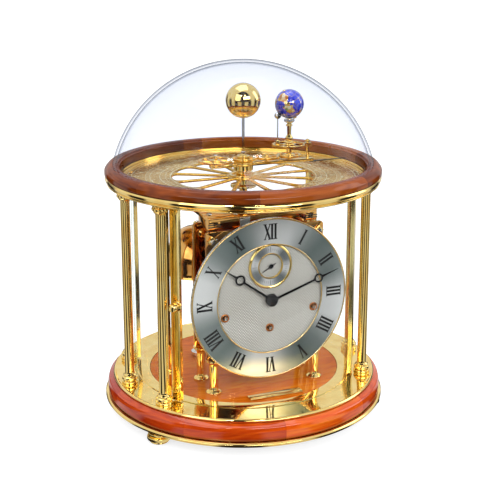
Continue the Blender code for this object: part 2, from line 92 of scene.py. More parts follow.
def facing(x: float = 0, z: float = 0, turn: float = 0) -> Matrix:
    """Stand a flat shape up so that it faces the front of the case.

    Args:
        x: Where its origin goes, to the right.
        z: Where its origin goes, upwards.
        turn: Degrees clockwise, as seen from the front.

    Returns:
        The matrix. A shape's own height becomes its distance in front of the case's axis.
    """
    return shift(x, 0, z) @ Matrix.Rotation(radians(90), 4, "X") @ Matrix.Rotation(radians(-turn), 4, "Z")


def around(radius: float, angle: float) -> tuple[float, float]:
    """A point round the case, at degrees from the front towards +X."""
    return radius * sin(radians(angle)), -radius * cos(radians(angle))


# ---------------------------------------------------------------- outlines

def rounded(points: Outline, closed: bool = True, steps: int = 5) -> Outline:
    """Round an outline's corners.

    Args:
        points: Corners as (x, y) or (x, y, radius of the rounding).
        closed: Whether the last point joins the first.
        steps: How many stretches a rounded corner has.

    Returns:
        The outline's points as (x, y).
    """
    result = []
    last = len(points) - 1
    for i, (x, y, *rest) in enumerate(points):
        if not rest or (not closed and i in (0, last)):
            result.append((x, y))
            continue
        here = Vector((x, y))
        back = Vector(points[i - 1][:2]) - here
        ahead = Vector(points[(i + 1) % len(points)][:2]) - here
        reach = min(rest[0] / tan(back.angle(ahead) / 2), 0.48 * back.length, 0.48 * ahead.length)
        start = here + back.normalized() * reach
        end = here + ahead.normalized() * reach
        for k in range(steps + 1):
            t = k / steps
            point = start * (1 - t) ** 2 + here * 2 * t * (1 - t) + end * t ** 2
            result.append((point.x, point.y))
    return result


def circle(radius: float, x: float = 0, y: float = 0, steps: int = 48) -> Outline:
    """Points round a circle."""
    return [(x + radius * cos(2 * pi * i / steps),
             y + radius * sin(2 * pi * i / steps)) for i in range(steps)]


def arc_band(inner: float, outer: float, start: float, end: float, steps: int = 64) -> Outline:
    """The plan of an upright curved panel between two angles round the case."""
    angles = [start + (end - start) * i / steps for i in range(steps + 1)]
    return [around(outer, a) for a in angles] + [around(inner, a) for a in reversed(angles)]


def gear_rim(teeth: int, pitch_r: float, turned_by: float = 0) -> Outline:
    """A spur wheel's outline.

    Args:
        teeth: How many teeth.
        pitch_r: The pitch circle's radius.
        turned_by: How far the wheel is turned, in tooth pitches.

    Returns:
        Its points.
    """
    module = 2 * pitch_r / teeth
    step = 2 * pi / teeth
    root = pitch_r - 1.15 * module
    tip = pitch_r + 0.85 * module
    tooth = ((root, -0.3), (pitch_r, -0.22), (tip, -0.09), (tip, 0.09), (pitch_r, 0.22), (root, 0.3))
    return [(r * cos((i + turned_by + share) * step), r * sin((i + turned_by + share) * step))
            for i in range(teeth) for r, share in tooth]


def crossing(hub: float, rim: float, arms: int, width: float) -> list[Outline]:
    """The openings between a wheel's arms.

    Args:
        hub: Radius of the solid middle.
        rim: Inner radius of the rim.
        arms: How many arms.
        width: An arm's width.

    Returns:
        One outline for each opening.
    """
    openings = []
    half = pi / arms
    inner = half - width / 2 / hub
    outer = half - width / 2 / rim
    for i in range(arms):
        middle = (2 * i + 1) * half
        points = [(rim, middle + outer * t / 5) for t in range(-5, 6)]
        points += [(hub, middle - inner * t / 2) for t in range(-2, 3)]
        corners = [(r * cos(a), r * sin(a)) for r, a in points]
        openings.append(corners)
    return openings


# ---------------------------------------------------------------- shader maths

class Value:
    """A number socket that takes part in Python arithmetic."""

    def __init__(self, graph: "Graph", socket: bpy.types.NodeSocket) -> None:
        """Wrap a socket of a graph."""
        self.graph = graph
        self.socket = socket

    def __add__(self, other: "Value | float") -> "Value":
        """self + other."""
        return self.graph.math("ADD", self, other)

    def __sub__(self, other: "Value | float") -> "Value":
        """self - other."""
        return self.graph.math("SUBTRACT", self, other)

    def __rsub__(self, other: float) -> "Value":
        """other - self."""
        return self.graph.math("SUBTRACT", other, self)

    def __mul__(self, other: "Value | float") -> "Value":
        """self * other."""
        return self.graph.math("MULTIPLY", self, other)

    def __truediv__(self, other: "Value | float") -> "Value":
        """self / other."""
        return self.graph.math("DIVIDE", self, other)

    def __pow__(self, other: float) -> "Value":
        """self ** other."""
        return self.graph.math("POWER", self, other)

    def __mod__(self, other: float) -> "Value":
        """The remainder, never negative."""
        return self.graph.math("FLOORED_MODULO", self, other)

    def __gt__(self, other: "Value | float") -> "Value":
        """1 where self is above other, or else 0."""
        return self.graph.math("GREATER_THAN", self, other)

    def __lt__(self, other: "Value | float") -> "Value":
        """1 where self is below other, or else 0."""
        return self.graph.math("LESS_THAN", self, other)

    def __abs__(self) -> "Value":
        """The distance from 0."""
        return self.graph.math("ABSOLUTE", self)

    __radd__ = __add__
    __rmul__ = __mul__


class Graph:
    """The nodes of one material or of the world."""

    def __init__(self, tree: bpy.types.NodeTree) -> None:
        """Start with an empty tree."""
        self.tree = tree
        tree.nodes.clear()

    def node(self, kind: str, settings: dict | None = None, inputs: dict | None = None) -> bpy.types.Node:
        """Make one node.

        Args:
            kind: Its type, such as ShaderNodeMath.
            settings: Its options; stops is a list of (position, colour) for a ramp.
            inputs: A value, a Value or a socket for each input, by name or number.

        Returns:
            The node.
        """
        made = self.tree.nodes.new(kind)
        for name, value in (settings or {}).items():
            if name == "stops":
                self._set_stops(made.color_ramp, value)
            else:
                setattr(made, name, value)
        for name, value in (inputs or {}).items():
            if isinstance(value, Value):
                value = value.socket
            if isinstance(value, bpy.types.NodeSocket):
                self.tree.links.new(value, made.inputs[name])
            else:
                made.inputs[name].default_value = value
        return made

    @staticmethod
    def _set_stops(ramp: bpy.types.ColorRamp, stops: list) -> None:
        """Give a ramp its colours."""
        while len(ramp.elements) < len(stops):
            ramp.elements.new(0.5)
        for element, (position, colour) in zip(ramp.elements, stops):
            element.position = position
            element.color = (*colour, 1)

    def math(self, operation: str, *values: "Value | float") -> Value:
        """A Math node on values and numbers."""
        made = self.node("ShaderNodeMath", {"operation": operation}, dict(enumerate(values)))
        return Value(self, made.outputs[0])

    def vector(self, operation: str, *values: object) -> bpy.types.NodeSocket:
        """A Vector Math node; a scale goes in as its last value."""
        slots = {0: values[0]}
        slots[3 if operation == "SCALE" else 1] = values[-1]
        made = self.node("ShaderNodeVectorMath", {"operation": operation},
                         slots if len(values) > 1 else {0: values[0]})
        return made.outputs[0]

    def place(self, centre: tuple[float, float, float] = (0, 0, 0)) -> bpy.types.NodeSocket:
        """Where a surface point is, in millimetres from a centre."""
        found = self.node("ShaderNodeTexCoord").outputs["Object"]
        scaled = self.vector("SCALE", found, 1 / MM)
        return self.vector("SUBTRACT", scaled, centre)

    def split(self, vector: bpy.types.NodeSocket) -> tuple[Value, Value, Value]:
        """A vector's three numbers."""
        made = self.node("ShaderNodeSeparateXYZ", {}, {0: vector})
        return tuple(Value(self, output) for output in made.outputs)

    def join(self, x: "Value | float", y: "Value | float", z: "Value | float") -> bpy.types.NodeSocket:
        """A vector of three numbers."""
        return self.node("ShaderNodeCombineXYZ", {}, {0: x, 1: y, 2: z}).outputs[0]

    def noise(self, at: bpy.types.NodeSocket, scale: float, detail: float = 2,
              distortion: float = 0) -> Value:
        """Cloudy noise from about 0.2 to 0.8."""
        made = self.node("ShaderNodeTexNoise", {}, {"Vector": at, "Scale": scale, "Detail": detail,
                                                    "Distortion": distortion})
        return Value(self, made.outputs["Fac"])

    def stretched(self, at: bpy.types.NodeSocket, x: float, y: float, z: float) -> bpy.types.NodeSocket:
        """A vector with each of its numbers scaled."""
        return self.vector("MULTIPLY", at, (x, y, z))

    def fit(self, value: Value, low: float, high: float, to_low: float = 0, to_high: float = 1) -> Value:
        """Spread a range over another one, without passing its ends."""
        made = self.node("ShaderNodeMapRange", {"clamp": True},
                         {0: value, 1: low, 2: high, 3: to_low, 4: to_high})
        return Value(self, made.outputs[0])

    def mix(self, share: "Value | float", a: object, b: object) -> bpy.types.NodeSocket:
        """A colour between two colours."""
        def whole(colour: object) -> object:
            return (*colour, 1) if isinstance(colour, tuple) else colour
        made = self.node("ShaderNodeMix", {"data_type": "RGBA"}, {0: share, 6: whole(a), 7: whole(b)})
        return made.outputs[2]

    def ramp(self, value: Value, stops: list) -> bpy.types.NodeSocket:
        """A colour from a ramp."""
        return self.node("ShaderNodeValToRGB", {"stops": stops}, {0: value}).outputs[0]

    def bump(self, height: Value, strength: float, distance: float) -> bpy.types.NodeSocket:
        """A normal from a height, whose full step is a distance in millimetres."""
        made = self.node("ShaderNodeBump", {},
                         {"Height": height, "Strength": strength, "Distance": distance * MM})
        return made.outputs[0]

    def principled(self, **inputs: object) -> bpy.types.NodeSocket:
        """The main shader; a name's underscores stand for spaces."""
        named = {name.replace("_", " "): value for name, value in inputs.items()}
        colour = named.get("Base Color")
        if isinstance(colour, tuple):
            named["Base Color"] = (*colour, 1)
        return self.node("ShaderNodeBsdfPrincipled", {}, named).outputs[0]

    def blend(self, share: "Value | float", a: bpy.types.NodeSocket,
              b: bpy.types.NodeSocket) -> bpy.types.NodeSocket:
        """A shader between two shaders."""
        return self.node("ShaderNodeMixShader", {}, {0: share, 1: a, 2: b}).outputs[0]


# ---------------------------------------------------------------- finishes

@dataclass(frozen=True)
class Finish:
    """A surface finish, made into one shared material when it is first used."""

    name: str
    slot: str

    def surface(self, graph: Graph) -> bpy.types.NodeSocket:
        """The finish's shader."""
        raise NotImplementedError

    def material(self) -> bpy.types.Material:
        """The finish's material."""
        found = bpy.data.materials.get(self.name)
        if found:
            return found
        made = bpy.data.materials.new(self.name)
        made.use_nodes = True
        graph = Graph(made.node_tree)
        graph.node("ShaderNodeOutputMaterial", {}, {"Surface": self.surface(graph)})
        return made


@dataclass(frozen=True)
class Metal(Finish):
    """Polished metal with faint cloudy tarnish, hairlines and a slightly wavy surface."""

    colour: Colour
    tarnish: Colour
    roughness: float = 0.05
    hairline: float = 0.06
    wave: float = 0.12

    def surface(self, graph: Graph) -> bpy.types.NodeSocket:
        """The metal's shader."""
        at = graph.place()
        cloud = graph.noise(at, 0.06, 3)
        hair = graph.noise(graph.stretched(at, 1, 1, 14), 0.7, 4)
        ripple = graph.noise(at, 0.09, 1)
        return graph.principled(
            Base_Color=graph.mix(graph.fit(cloud, 0.45, 0.75), self.colour, self.tarnish), Metallic=1.0,
            Roughness=graph.fit(hair, 0.35, 0.75, self.roughness, self.roughness + self.hairline),
            Normal=graph.bump(ripple, 0.35, self.wave))


@dataclass(frozen=True)
class Veneer(Finish):
    """High-gloss veneer laid in panels round the case, or flat where panels is 0."""

    deep: Colour
    middle: Colour
    light: Colour
    panels: int = 0
    first: float = 0.0
    reach: float = 119.0
    coat: float = 1.0

    def surface(self, graph: Graph) -> bpy.types.NodeSocket:
        """The veneer's shader."""
        at = graph.place()
        x, y, z = graph.split(at)
        if self.panels:
            turn = graph.math("ARCTAN2", x, y * -1) * (self.panels / (2 * pi)) + self.first
            panel = graph.math("FLOOR", turn)
            along = turn * (2 * pi * self.reach / self.panels)
            tone = Value(graph, graph.node("ShaderNodeTexWhiteNoise", {"noise_dimensions": "1D"},
                                           {"W": panel}).outputs["Value"])
            seam = graph.fit(abs(turn % 1.0 - 0.5), 0.4955, 0.4985)
            lie = graph.join(along, z + panel * 31.0, graph.math("SQRT", x * x + y * y))
        else:
            tone = graph.noise(graph.stretched(at, 1, 1, 0), 0.012, 1)
            seam = graph.fit(abs((x + 13.0) % 52.0 - 26.0), 25.85, 25.95) * 0.4
            lie = at
        bend = graph.noise(graph.stretched(lie, 0.25, 1, 1), 0.035, 2)
        figure = graph.noise(graph.stretched(lie, 0.12, 1, 1), 0.09, 5, 1.2)
        pore = graph.noise(graph.stretched(lie, 0.06, 1, 1), 1.6, 4)
        rings = graph.math("SINE", bend * 90.0 + figure * 4.0) * 0.5 + 0.5
        grain = rings * 0.12 + graph.fit(figure, 0.3, 0.7) * 0.28 + tone * 0.60
        wood = graph.ramp(grain, [(0.12, self.deep), (0.5, self.middle), (0.9, self.light)])
        fine = graph.mix(graph.fit(pore, 0.52, 0.75) * 0.45, wood, self.deep)
        return graph.principled(
            Base_Color=graph.mix(seam * 0.5, fine, self.deep), Roughness=graph.fit(pore, 0.3, 0.7, 0.4, 0.5),
            Specular_IOR_Level=0.0, Coat_Weight=self.coat, Coat_Roughness=0.02, Coat_IOR=1.55,
            Normal=graph.bump(figure, 0.08, 0.08))


@dataclass(frozen=True)
class Spun(Finish):
    """Silvering brushed in circles on the dial, with painted highlights: pale sectors painted into its colour
    by angle round the dial.

    Each painted highlight is (clock angle, power). The pale sectors stand in for the streaked reflections of
    spun metal, and the dark colour between them is painted dim reflection.
    """

    highlight_colour: Colour
    dark: Colour
    centre_z: float
    painted_highlights: tuple[tuple[float, float], ...]

    def surface(self, graph: Graph) -> bpy.types.NodeSocket:
        """The silvering's shader."""
        at = graph.place((0, 0, self.centre_z))
        x, _, z = graph.split(at)
        radius = graph.math("SQRT", x * x + z * z)
        turn = graph.math("ARCTAN2", x, z)
        # Painted highlight: a faint pale ripple by angle round the dial, then a pale sector round each given
        # clock angle.
        painted_highlight = graph.math("SINE", turn * 6.0 + 1.0) * 0.06 + 0.06
        for clock, narrow in self.painted_highlights:
            painted_highlight = graph.math("MAXIMUM", painted_highlight, abs(graph.math("COSINE", turn - radians(clock))) ** narrow)
        stroke = graph.node("ShaderNodeTexNoise", {"noise_dimensions": "1D"},
                            {"W": radius, "Scale": 2.6, "Detail": 3.0})
        line = Value(graph, stroke.outputs["Fac"]) - 0.5
        share = painted_highlight * 1.15 + line * 0.16
        return graph.principled(Base_Color=graph.mix(share, self.dark, self.highlight_colour), Metallic=0.55,
                                Roughness=graph.fit(line, -0.3, 0.3, 0.30, 0.38),
                                Normal=graph.bump(line, 0.2, 0.02))


@dataclass(frozen=True)
class Weave(Finish):
    """Basket weave struck into the dial's silver-white middle, in staggered rows, its pits painted near-black
    as painted shade.
    """

    light: Colour
    dark: Colour
    pitch: float
    row: float
    centre_z: float

    def surface(self, graph: Graph) -> bpy.types.NodeSocket:
        """The weave's shader."""
        at = graph.place((0, 0, self.centre_z))
        x, _, z = graph.split(at)
        course = z / self.row
        odd = graph.math("FLOOR", course) % 2.0
        across = abs((x / self.pitch + odd * 0.5) % 1.0 - 0.5) * 2.0
        up = abs(course % 1.0 - 0.5) * 2.0
        strand = (1.0 - across ** 3.0) * (1.0 - up ** 2.0)
        age = graph.noise(at, 0.05, 2)
        # Painted shade: the pits between the strands are mixed towards the dark colour.
        painted_pit_shade = graph.fit(strand, 0.22, 0.62, 1.0, 0.0)
        base = graph.mix(graph.fit(age, 0.4, 0.7) * 0.4, self.light, tuple(0.86 * c for c in self.light))
        return graph.principled(Base_Color=graph.mix(painted_pit_shade * 0.95, base, self.dark), Metallic=0.0,
                                Roughness=graph.fit(age, 0.3, 0.7, 0.32, 0.40),
                                Normal=graph.bump(strand, 0.55, 0.35))


@dataclass(frozen=True)
class Engraved(Finish):
    """Gilt plate etched with rings, divisions and small ornaments round the case's axis."""

    colour: Colour
    line: Colour
    rings: tuple[float, ...]
    divisions: tuple[tuple[float, float, int], ...]

    def surface(self, graph: Graph) -> bpy.types.NodeSocket:
        """The engraving's shader."""
        at = graph.place()
        x, y, _ = graph.split(at)
        radius = graph.math("SQRT", x * x + y * y)
        angle = graph.math("ARCTAN2", y, x) / (2 * pi)
        cut = graph.fit(graph.noise(at, 0.30, 3, 1.5), 0.59, 0.62) * (radius > 61.0)
        for ring in self.rings:
            cut = graph.math("MAXIMUM", cut, abs(radius - ring) < 0.28)
        for inner, outer, count in self.divisions:
            band = (radius > inner) * (radius < outer)
            spot = abs((angle * float(count)) % 1.0 - 0.5) > 0.5 - 0.3 * count / (2 * pi * outer)
            cut = graph.math("MAXIMUM", cut * (1.0 - band), band * spot)
        hair = graph.noise(graph.stretched(at, 3, 0.4, 1), 0.8, 3)
        return graph.principled(Base_Color=graph.mix(cut, self.colour, self.line), Metallic=1.0,
                                Roughness=graph.fit(hair, 0.3, 0.7, 0.20, 0.30) + cut * 0.12,
                                Normal=graph.bump(1.0 - cut, 0.5, 0.12))


@dataclass(frozen=True)
class Lacquer(Finish):
    """Gloss paint with dust-fine unevenness."""

    colour: Colour
    roughness: float = 0.12
    coat: float = 0.6

    def surface(self, graph: Graph) -> bpy.types.NodeSocket:
        """The paint's shader."""
        at = graph.place()
        fine = graph.noise(at, 0.9, 3)
        return graph.principled(Base_Color=graph.mix(fine * 0.3, self.colour,
                                                     tuple(1.6 * c + 0.004 for c in self.colour)),
                                Roughness=graph.fit(fine, 0.3, 0.7, self.roughness, self.roughness + 0.1),
                                Coat_Weight=self.coat, Coat_Roughness=0.05,
                                Normal=graph.bump(fine, 0.06, 0.05))


@dataclass(frozen=True)
class Globe(Finish):
    """The earth: deep blue, with inlaid lands edged in gold and gold lines of longitude and latitude."""

    centre: tuple[float, float, float]
    tilt: float
    lands: tuple[tuple[float, float, float, float], ...]

    def surface(self, graph: Graph) -> bpy.types.NodeSocket:
        """The globe's shader."""
        at = graph.place(self.centre)
        way = graph.vector("NORMALIZE", at)
        rough = graph.noise(way, 2.6, 5)
        land: Value | float = 0.0
        for x, y, z, size in self.lands:
            near = Value(graph, graph.node("ShaderNodeVectorMath", {"operation": "DOT_PRODUCT"},
                                           {0: way, 1: Vector((x, y, z)).normalized()}).outputs["Value"])
            land = graph.math("MAXIMUM", land, near - cos(radians(size)) + 0.5)
        shore = land + (rough - 0.5) * 0.45
        stones = graph.node("ShaderNodeTexVoronoi", {}, {"Vector": way, "Scale": 4.0}).outputs["Color"]
        pick, _, _ = graph.split(stones)
        inlay = graph.ramp(pick, [(0.1, (0.55, 0.16, 0.02)), (0.4, (0.70, 0.35, 0.06)),
                                  (0.6, (0.85, 0.75, 0.5)),
                                  (0.8, (0.15, 0.25, 0.05)), (0.95, (0.75, 0.12, 0.03))])
        depth = graph.noise(way, 6.0, 4)
        sea = graph.mix(graph.fit(depth, 0.4, 0.7), (0.010, 0.020, 0.50), (0.04, 0.07, 0.85))
        turned_way = graph.node("ShaderNodeMapping", {},
                                {"Vector": way, "Rotation": (0, radians(self.tilt), 0)})
        x, y, z = graph.split(turned_way.outputs[0])
        meridian = graph.math("ARCTAN2", y, x) * (12 / (2 * pi))
        parallel = graph.math("ARCSINE", z) * (9 / pi)
        net = graph.math("MAXIMUM", abs(meridian % 1.0 - 0.5) > 0.484, abs(parallel % 1.0 - 0.5) > 0.478)
        edge = graph.math("MAXIMUM", net * (shore < 0.5), abs(shore - 0.5) < 0.014)
        colour = graph.mix(shore > 0.5, sea, inlay)
        return graph.principled(Base_Color=graph.mix(edge, colour, (0.85, 0.62, 0.2)), Metallic=edge * 0.9,
                                Roughness=graph.fit(depth, 0.3, 0.7, 0.08, 0.14), Coat_Weight=1.0,
                                Coat_Roughness=0.03, Normal=graph.bump(edge, 0.3, 0.05))


@dataclass(frozen=True)
class TwoTone(Finish):
    """The moon: silver on one half, black on the other."""

    centre: tuple[float, float, float]

    def surface(self, graph: Graph) -> bpy.types.NodeSocket:
        """The moon's shader."""
        at = graph.place(self.centre)
        x, y, _ = graph.split(at)
        mottle = graph.noise(at, 0.9, 4)
        dark = (x * 0.94 - y * 0.34 + 0.2) > 0.0
        silver = graph.mix(graph.fit(mottle, 0.45, 0.7) * 0.5, (0.86, 0.86, 0.87), (0.55, 0.55, 0.58))
        return graph.principled(Base_Color=graph.mix(dark, silver, (0.012, 0.012, 0.014)),
                                Metallic=1.0 - dark,
                                Roughness=graph.fit(mottle, 0.3, 0.7, 0.14, 0.24))


@dataclass(frozen=True)
class Clear(Finish):
    """A clear wall: mirror gloss by angle, and a darker edge where the wall is seen along its length."""

    tint: Colour
    edge: Colour
    edge_from: float
    gloss: float = 1.0

    def surface(self, graph: Graph) -> bpy.types.NodeSocket:
        """The clear wall's shader."""
        at = graph.place()
        facing_away = Value(graph, graph.node("ShaderNodeLayerWeight", {}, {"Blend": 0.5}).outputs["Facing"])
        through = graph.node("ShaderNodeBsdfTransparent", {}, {"Color": (*self.tint, 1)}).outputs[0]
        side = graph.node("ShaderNodeBsdfTransparent", {}, {"Color": (*self.edge, 1)}).outputs[0]
        wall = graph.blend(graph.fit(facing_away, self.edge_from, 1.0), through, side)
        mirror = graph.node("ShaderNodeBsdfAnisotropic", {},
                            {"Color": (1, 1, 1, 1), "Roughness": 0.0}).outputs[0]
        shine = facing_away ** 5.0 * 0.96 + 0.04
        wipe = graph.noise(at, 0.03, 2)
        return graph.blend(shine * self.gloss * graph.fit(wipe, 0.3, 0.7, 0.85, 1.0), wall, mirror)


BRASS = Metal("polished_brass", "brass", (0.95, 0.71, 0.26), (0.88, 0.56, 0.15))
GILT = Metal("gilt_balls", "gold", (0.96, 0.72, 0.26), (0.88, 0.60, 0.18), roughness=0.015, hairline=0.02,
             wave=0.03)
SATIN = Metal("satin_brass", "brass", (0.90, 0.66, 0.25), (0.74, 0.50, 0.16), roughness=0.16, hairline=0.10)
STILE = Metal("brushed_stile", "brass", (0.98, 0.82, 0.38), (0.95, 0.76, 0.32), roughness=0.12, hairline=0.05)
WARM = Metal("warm_brass", "brass", (0.84, 0.46, 0.13), (0.52, 0.19, 0.04), roughness=0.06)
NICKEL = Metal("nickel", "steel", (0.78, 0.77, 0.74), (0.62, 0.60, 0.56), roughness=0.06, hairline=0.08)
COPPER = Metal("copper_ferrules", "brass", (0.86, 0.35, 0.12), (0.60, 0.20, 0.06), roughness=0.16)
# Black laid where slots, holes and grooves would be: painted shade.
SHADOW = Lacquer("painted_recess_shade", "black", (0.008, 0.006, 0.005), roughness=0.45)
BLACK = Lacquer("black_hands", "black", (0.004, 0.004, 0.005), roughness=0.14, coat=0.3)
INK = Lacquer("black_ink", "black", (0.005, 0.005, 0.006), roughness=0.5, coat=0.0)
CHERRY = Veneer("cherry_plinth", "cherry", (0.42, 0.025, 0.002), (0.80, 0.105, 0.005), (1.0, 0.27, 0.018),
                panels=9, first=0.13)
TOP_CHERRY = Veneer("cherry_top", "cherry", (0.11, 0.018, 0.003), (0.30, 0.062, 0.007), (0.48, 0.13, 0.018),
                    panels=7, first=0.3, reach=116.0, coat=0.5)
FLOOR_VENEER = Veneer("floor_veneer_gloss", "floor_veneer", (0.56, 0.08, 0.004), (0.90, 0.19, 0.008),
                      (1.0, 0.36, 0.02), coat=0.4)
GLASS = Clear("pane_glass", "glass", (0.985, 0.99, 0.99), (0.45, 0.58, 0.50), edge_from=0.86, gloss=0.2)
ACRYLIC = Clear("dome_acrylic", "acrylic", (0.940, 0.953, 0.982), (0.30, 0.34, 0.42), edge_from=0.80,
                gloss=0.22)
PLATE = Engraved("engraved_gilt", "brass", (0.78, 0.47, 0.08), (1.0, 0.93, 0.60),
                 rings=(62.0, 66.5, 71.0, 79.5, 83.0, 95.0, 98.5),
                 divisions=((66.5, 69.5, 72), (79.5, 83.0, 120)))


# ---------------------------------------------------------------- shapes

class Shape:
    """Solid bodies gathered into one mesh, in millimetres."""

    def __init__(self) -> None:
        """Start with nothing."""
        self.body = bmesh.new()

    def _take(self, part: bmesh.types.BMesh, matrix: Matrix, finish: int) -> "Shape":
        """Put a finished body in its place and add it."""
        bmesh.ops.recalc_face_normals(part, faces=part.faces)
        bmesh.ops.transform(part, matrix=matrix, verts=part.verts)
        for face in part.faces:
            face.material_index = finish
        held = bpy.data.meshes.new("held")
        part.to_mesh(held)
        part.free()
        self.body.from_mesh(held)
        bpy.data.meshes.remove(held)
        return self

    def turn(self, profile: Outline, matrix: Matrix = IDENTITY, finish: int = 0, closed: bool = False,
             steps: int = 96) -> "Shape":
        """Add a turned body.

        Args:
            profile: Its section as (radius, height) or (radius, height, rounding).
            matrix: Where it goes.
            finish: Which of the piece's finishes it has.
            closed: True for a ring, whose section doesn't reach its axis.
            steps: How many steps it has round.

        Returns:
            The shape itself.
        """
        part = bmesh.new()
        verts = [part.verts.new((r, 0, z)) for r, z in rounded(profile, closed)]
        loop = verts + verts[:1] if closed else verts
        edges = [part.edges.new(pair) for pair in zip(loop, loop[1:])]
        bmesh.ops.spin(part, geom=verts + edges, cent=(0, 0, 0), axis=(0, 0, 1), angle=2 * pi, steps=steps,
                       use_merge=True)
        bmesh.ops.remove_doubles(part, verts=part.verts, dist=0.0005)
        return self._take(part, matrix, finish)

    def plate(self, outlines: list[Outline], low: float, high: float, matrix: Matrix = IDENTITY,
              finish: int = 0,
              bevel: float = 0, segments: int = 2) -> "Shape":
        """Add a flat plate.

        Args:
            outlines: Its outline, then those of its holes.
            low: Its lower face's height.
            high: Its upper face's height.
            matrix: Where it goes.
            finish: Which of the piece's finishes it has.
            bevel: How wide its rounded edges are.
            segments: How many steps a rounded edge has.

        Returns:
            The shape itself.
        """
        part = bmesh.new()
        edges = []
        for outline in outlines:
            verts = [part.verts.new((x, y, low)) for x, y in rounded(outline)]
            edges += [part.edges.new(pair) for pair in zip(verts, verts[1:] + verts[:1])]
        filled = bmesh.ops.triangle_fill(part, use_beauty=True, use_dissolve=False, edges=edges)
        faces = [item for item in filled["geom"] if isinstance(item, bmesh.types.BMFace)]
        raised = bmesh.ops.extrude_face_region(part, geom=faces)
        lifted = [item for item in raised["geom"] if isinstance(item, bmesh.types.BMVert)]
        bmesh.ops.translate(part, verts=lifted, vec=(0, 0, high - low))
        if bevel:
            rims = [edge for edge in part.edges if edge.verts[0].co.z == edge.verts[1].co.z
                    and edge.calc_face_angle(0) > radians(60)]
            self._bevel(part, rims, bevel, segments)
        return self._take(part, matrix, finish)

    @staticmethod
    def _bevel(part: bmesh.types.BMesh, edges: list, width: float, segments: int) -> None:
        """Round some edges."""
        bmesh.ops.bevel(part, geom=edges, offset=width, offset_type="OFFSET", affect="EDGES",
                        segments=segments,
                        profile=0.5, material=-1, clamp_overlap=True)

    def block(self, low: tuple, high: tuple, matrix: Matrix = IDENTITY, finish: int = 0,
              bevel: float = 0.4) -> "Shape":
        """Add a block with rounded edges between two corners."""
        part = bmesh.new()
        bmesh.ops.create_cube(part, size=1)
        size = Vector(high) - Vector(low)
        bmesh.ops.scale(part, vec=size, verts=part.verts)
        bmesh.ops.translate(part, vec=Vector(low) + size / 2, verts=part.verts)
        self._bevel(part, part.edges[:], bevel, 2)
        return self._take(part, matrix, finish)

    def rod(self, start: tuple, end: tuple, radius: float, finish: int = 0, steps: int = 24,
            bevel: float = 0.2) -> "Shape":
        """Add a round bar between two points."""
        way = Vector(end) - Vector(start)
        lie = Matrix.Translation(Vector(start)) @ way.to_track_quat("Z", "Y").to_matrix().to_4x4()
        profile = [(0, 0), (radius, 0, bevel), (radius, way.length, bevel), (0, way.length)]
        return self.turn(profile, lie, finish, steps=steps)

    def ball(self, radius: float, at: tuple, finish: int = 0, steps: int = 64) -> "Shape":
        """Add a ball."""
        part = bmesh.new()
        bmesh.ops.create_uvsphere(part, u_segments=steps, v_segments=steps // 2, radius=radius)
        return self._take(part, Matrix.Translation(Vector(at)), finish)

    def screw(self, matrix: Matrix, radius: float = 2.2, turn: float = 30, metal: int = 1,
              dark: int = 2) -> "Shape":
        """Add a domed screw head standing on a surface, its slot a thin black bar of painted shade.

        Args:
            matrix: Its place; its own Z points out of the surface.
            radius: The head's radius.
            turn: Degrees that the slot is turned.
            metal: The head's finish.
            dark: The finish of the slot's bar of painted shade.

        Returns:
            The shape itself.
        """
        head = [(0, radius * 0.55), (radius * 0.8, radius * 0.5, 0.3), (radius, radius * 0.25, 0.2),
                (radius, 0), (0, 0)]
        self.turn(head, matrix, metal, steps=32)
        # The slot is a thin black bar laid in the head: painted shade, not a cut.
        slot = matrix @ Matrix.Rotation(radians(turn), 4, "Z")
        wide = radius * 0.13
        return self.block((-radius * 0.97, -wide, radius * 0.3), (radius * 0.97, wide, radius * 0.56), slot,
                          dark, 0.02)

    def piece(self, name: str, body: str, finishes: list[Finish], nodes: tuple[str, ...] = (),
              sharp: float = 38) -> bpy.types.Object:
        """Write the shape out as one object that rides on a body.

        Args:
            name: The object's name.
            body: The CAD body it moves with.
            finishes: Its finishes, one material each, in order.
            nodes: The CAD nodes it stands for.
            sharp: Degrees between faces above which an edge stays sharp.

        Returns:
            The object.
        """
        bmesh.ops.scale(self.body, vec=(MM, MM, MM), verts=self.body.verts)
        mesh = bpy.data.meshes.new(name)
        self.body.to_mesh(mesh)
        self.body.free()
        mesh.shade_smooth()
        mesh.set_sharp_from_angle(angle=radians(sharp))
        made = bpy.data.objects.new(name, mesh)
        bpy.context.scene.collection.objects.link(made)
        for finish in finishes:
            mesh.materials.append(finish.material())
        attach(made, body)
        if nodes:
            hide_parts(*nodes)
        LOG.info("%s: %d faces on %s", name, len(mesh.polygons), body)
        return made


# ---------------------------------------------------------------- the case

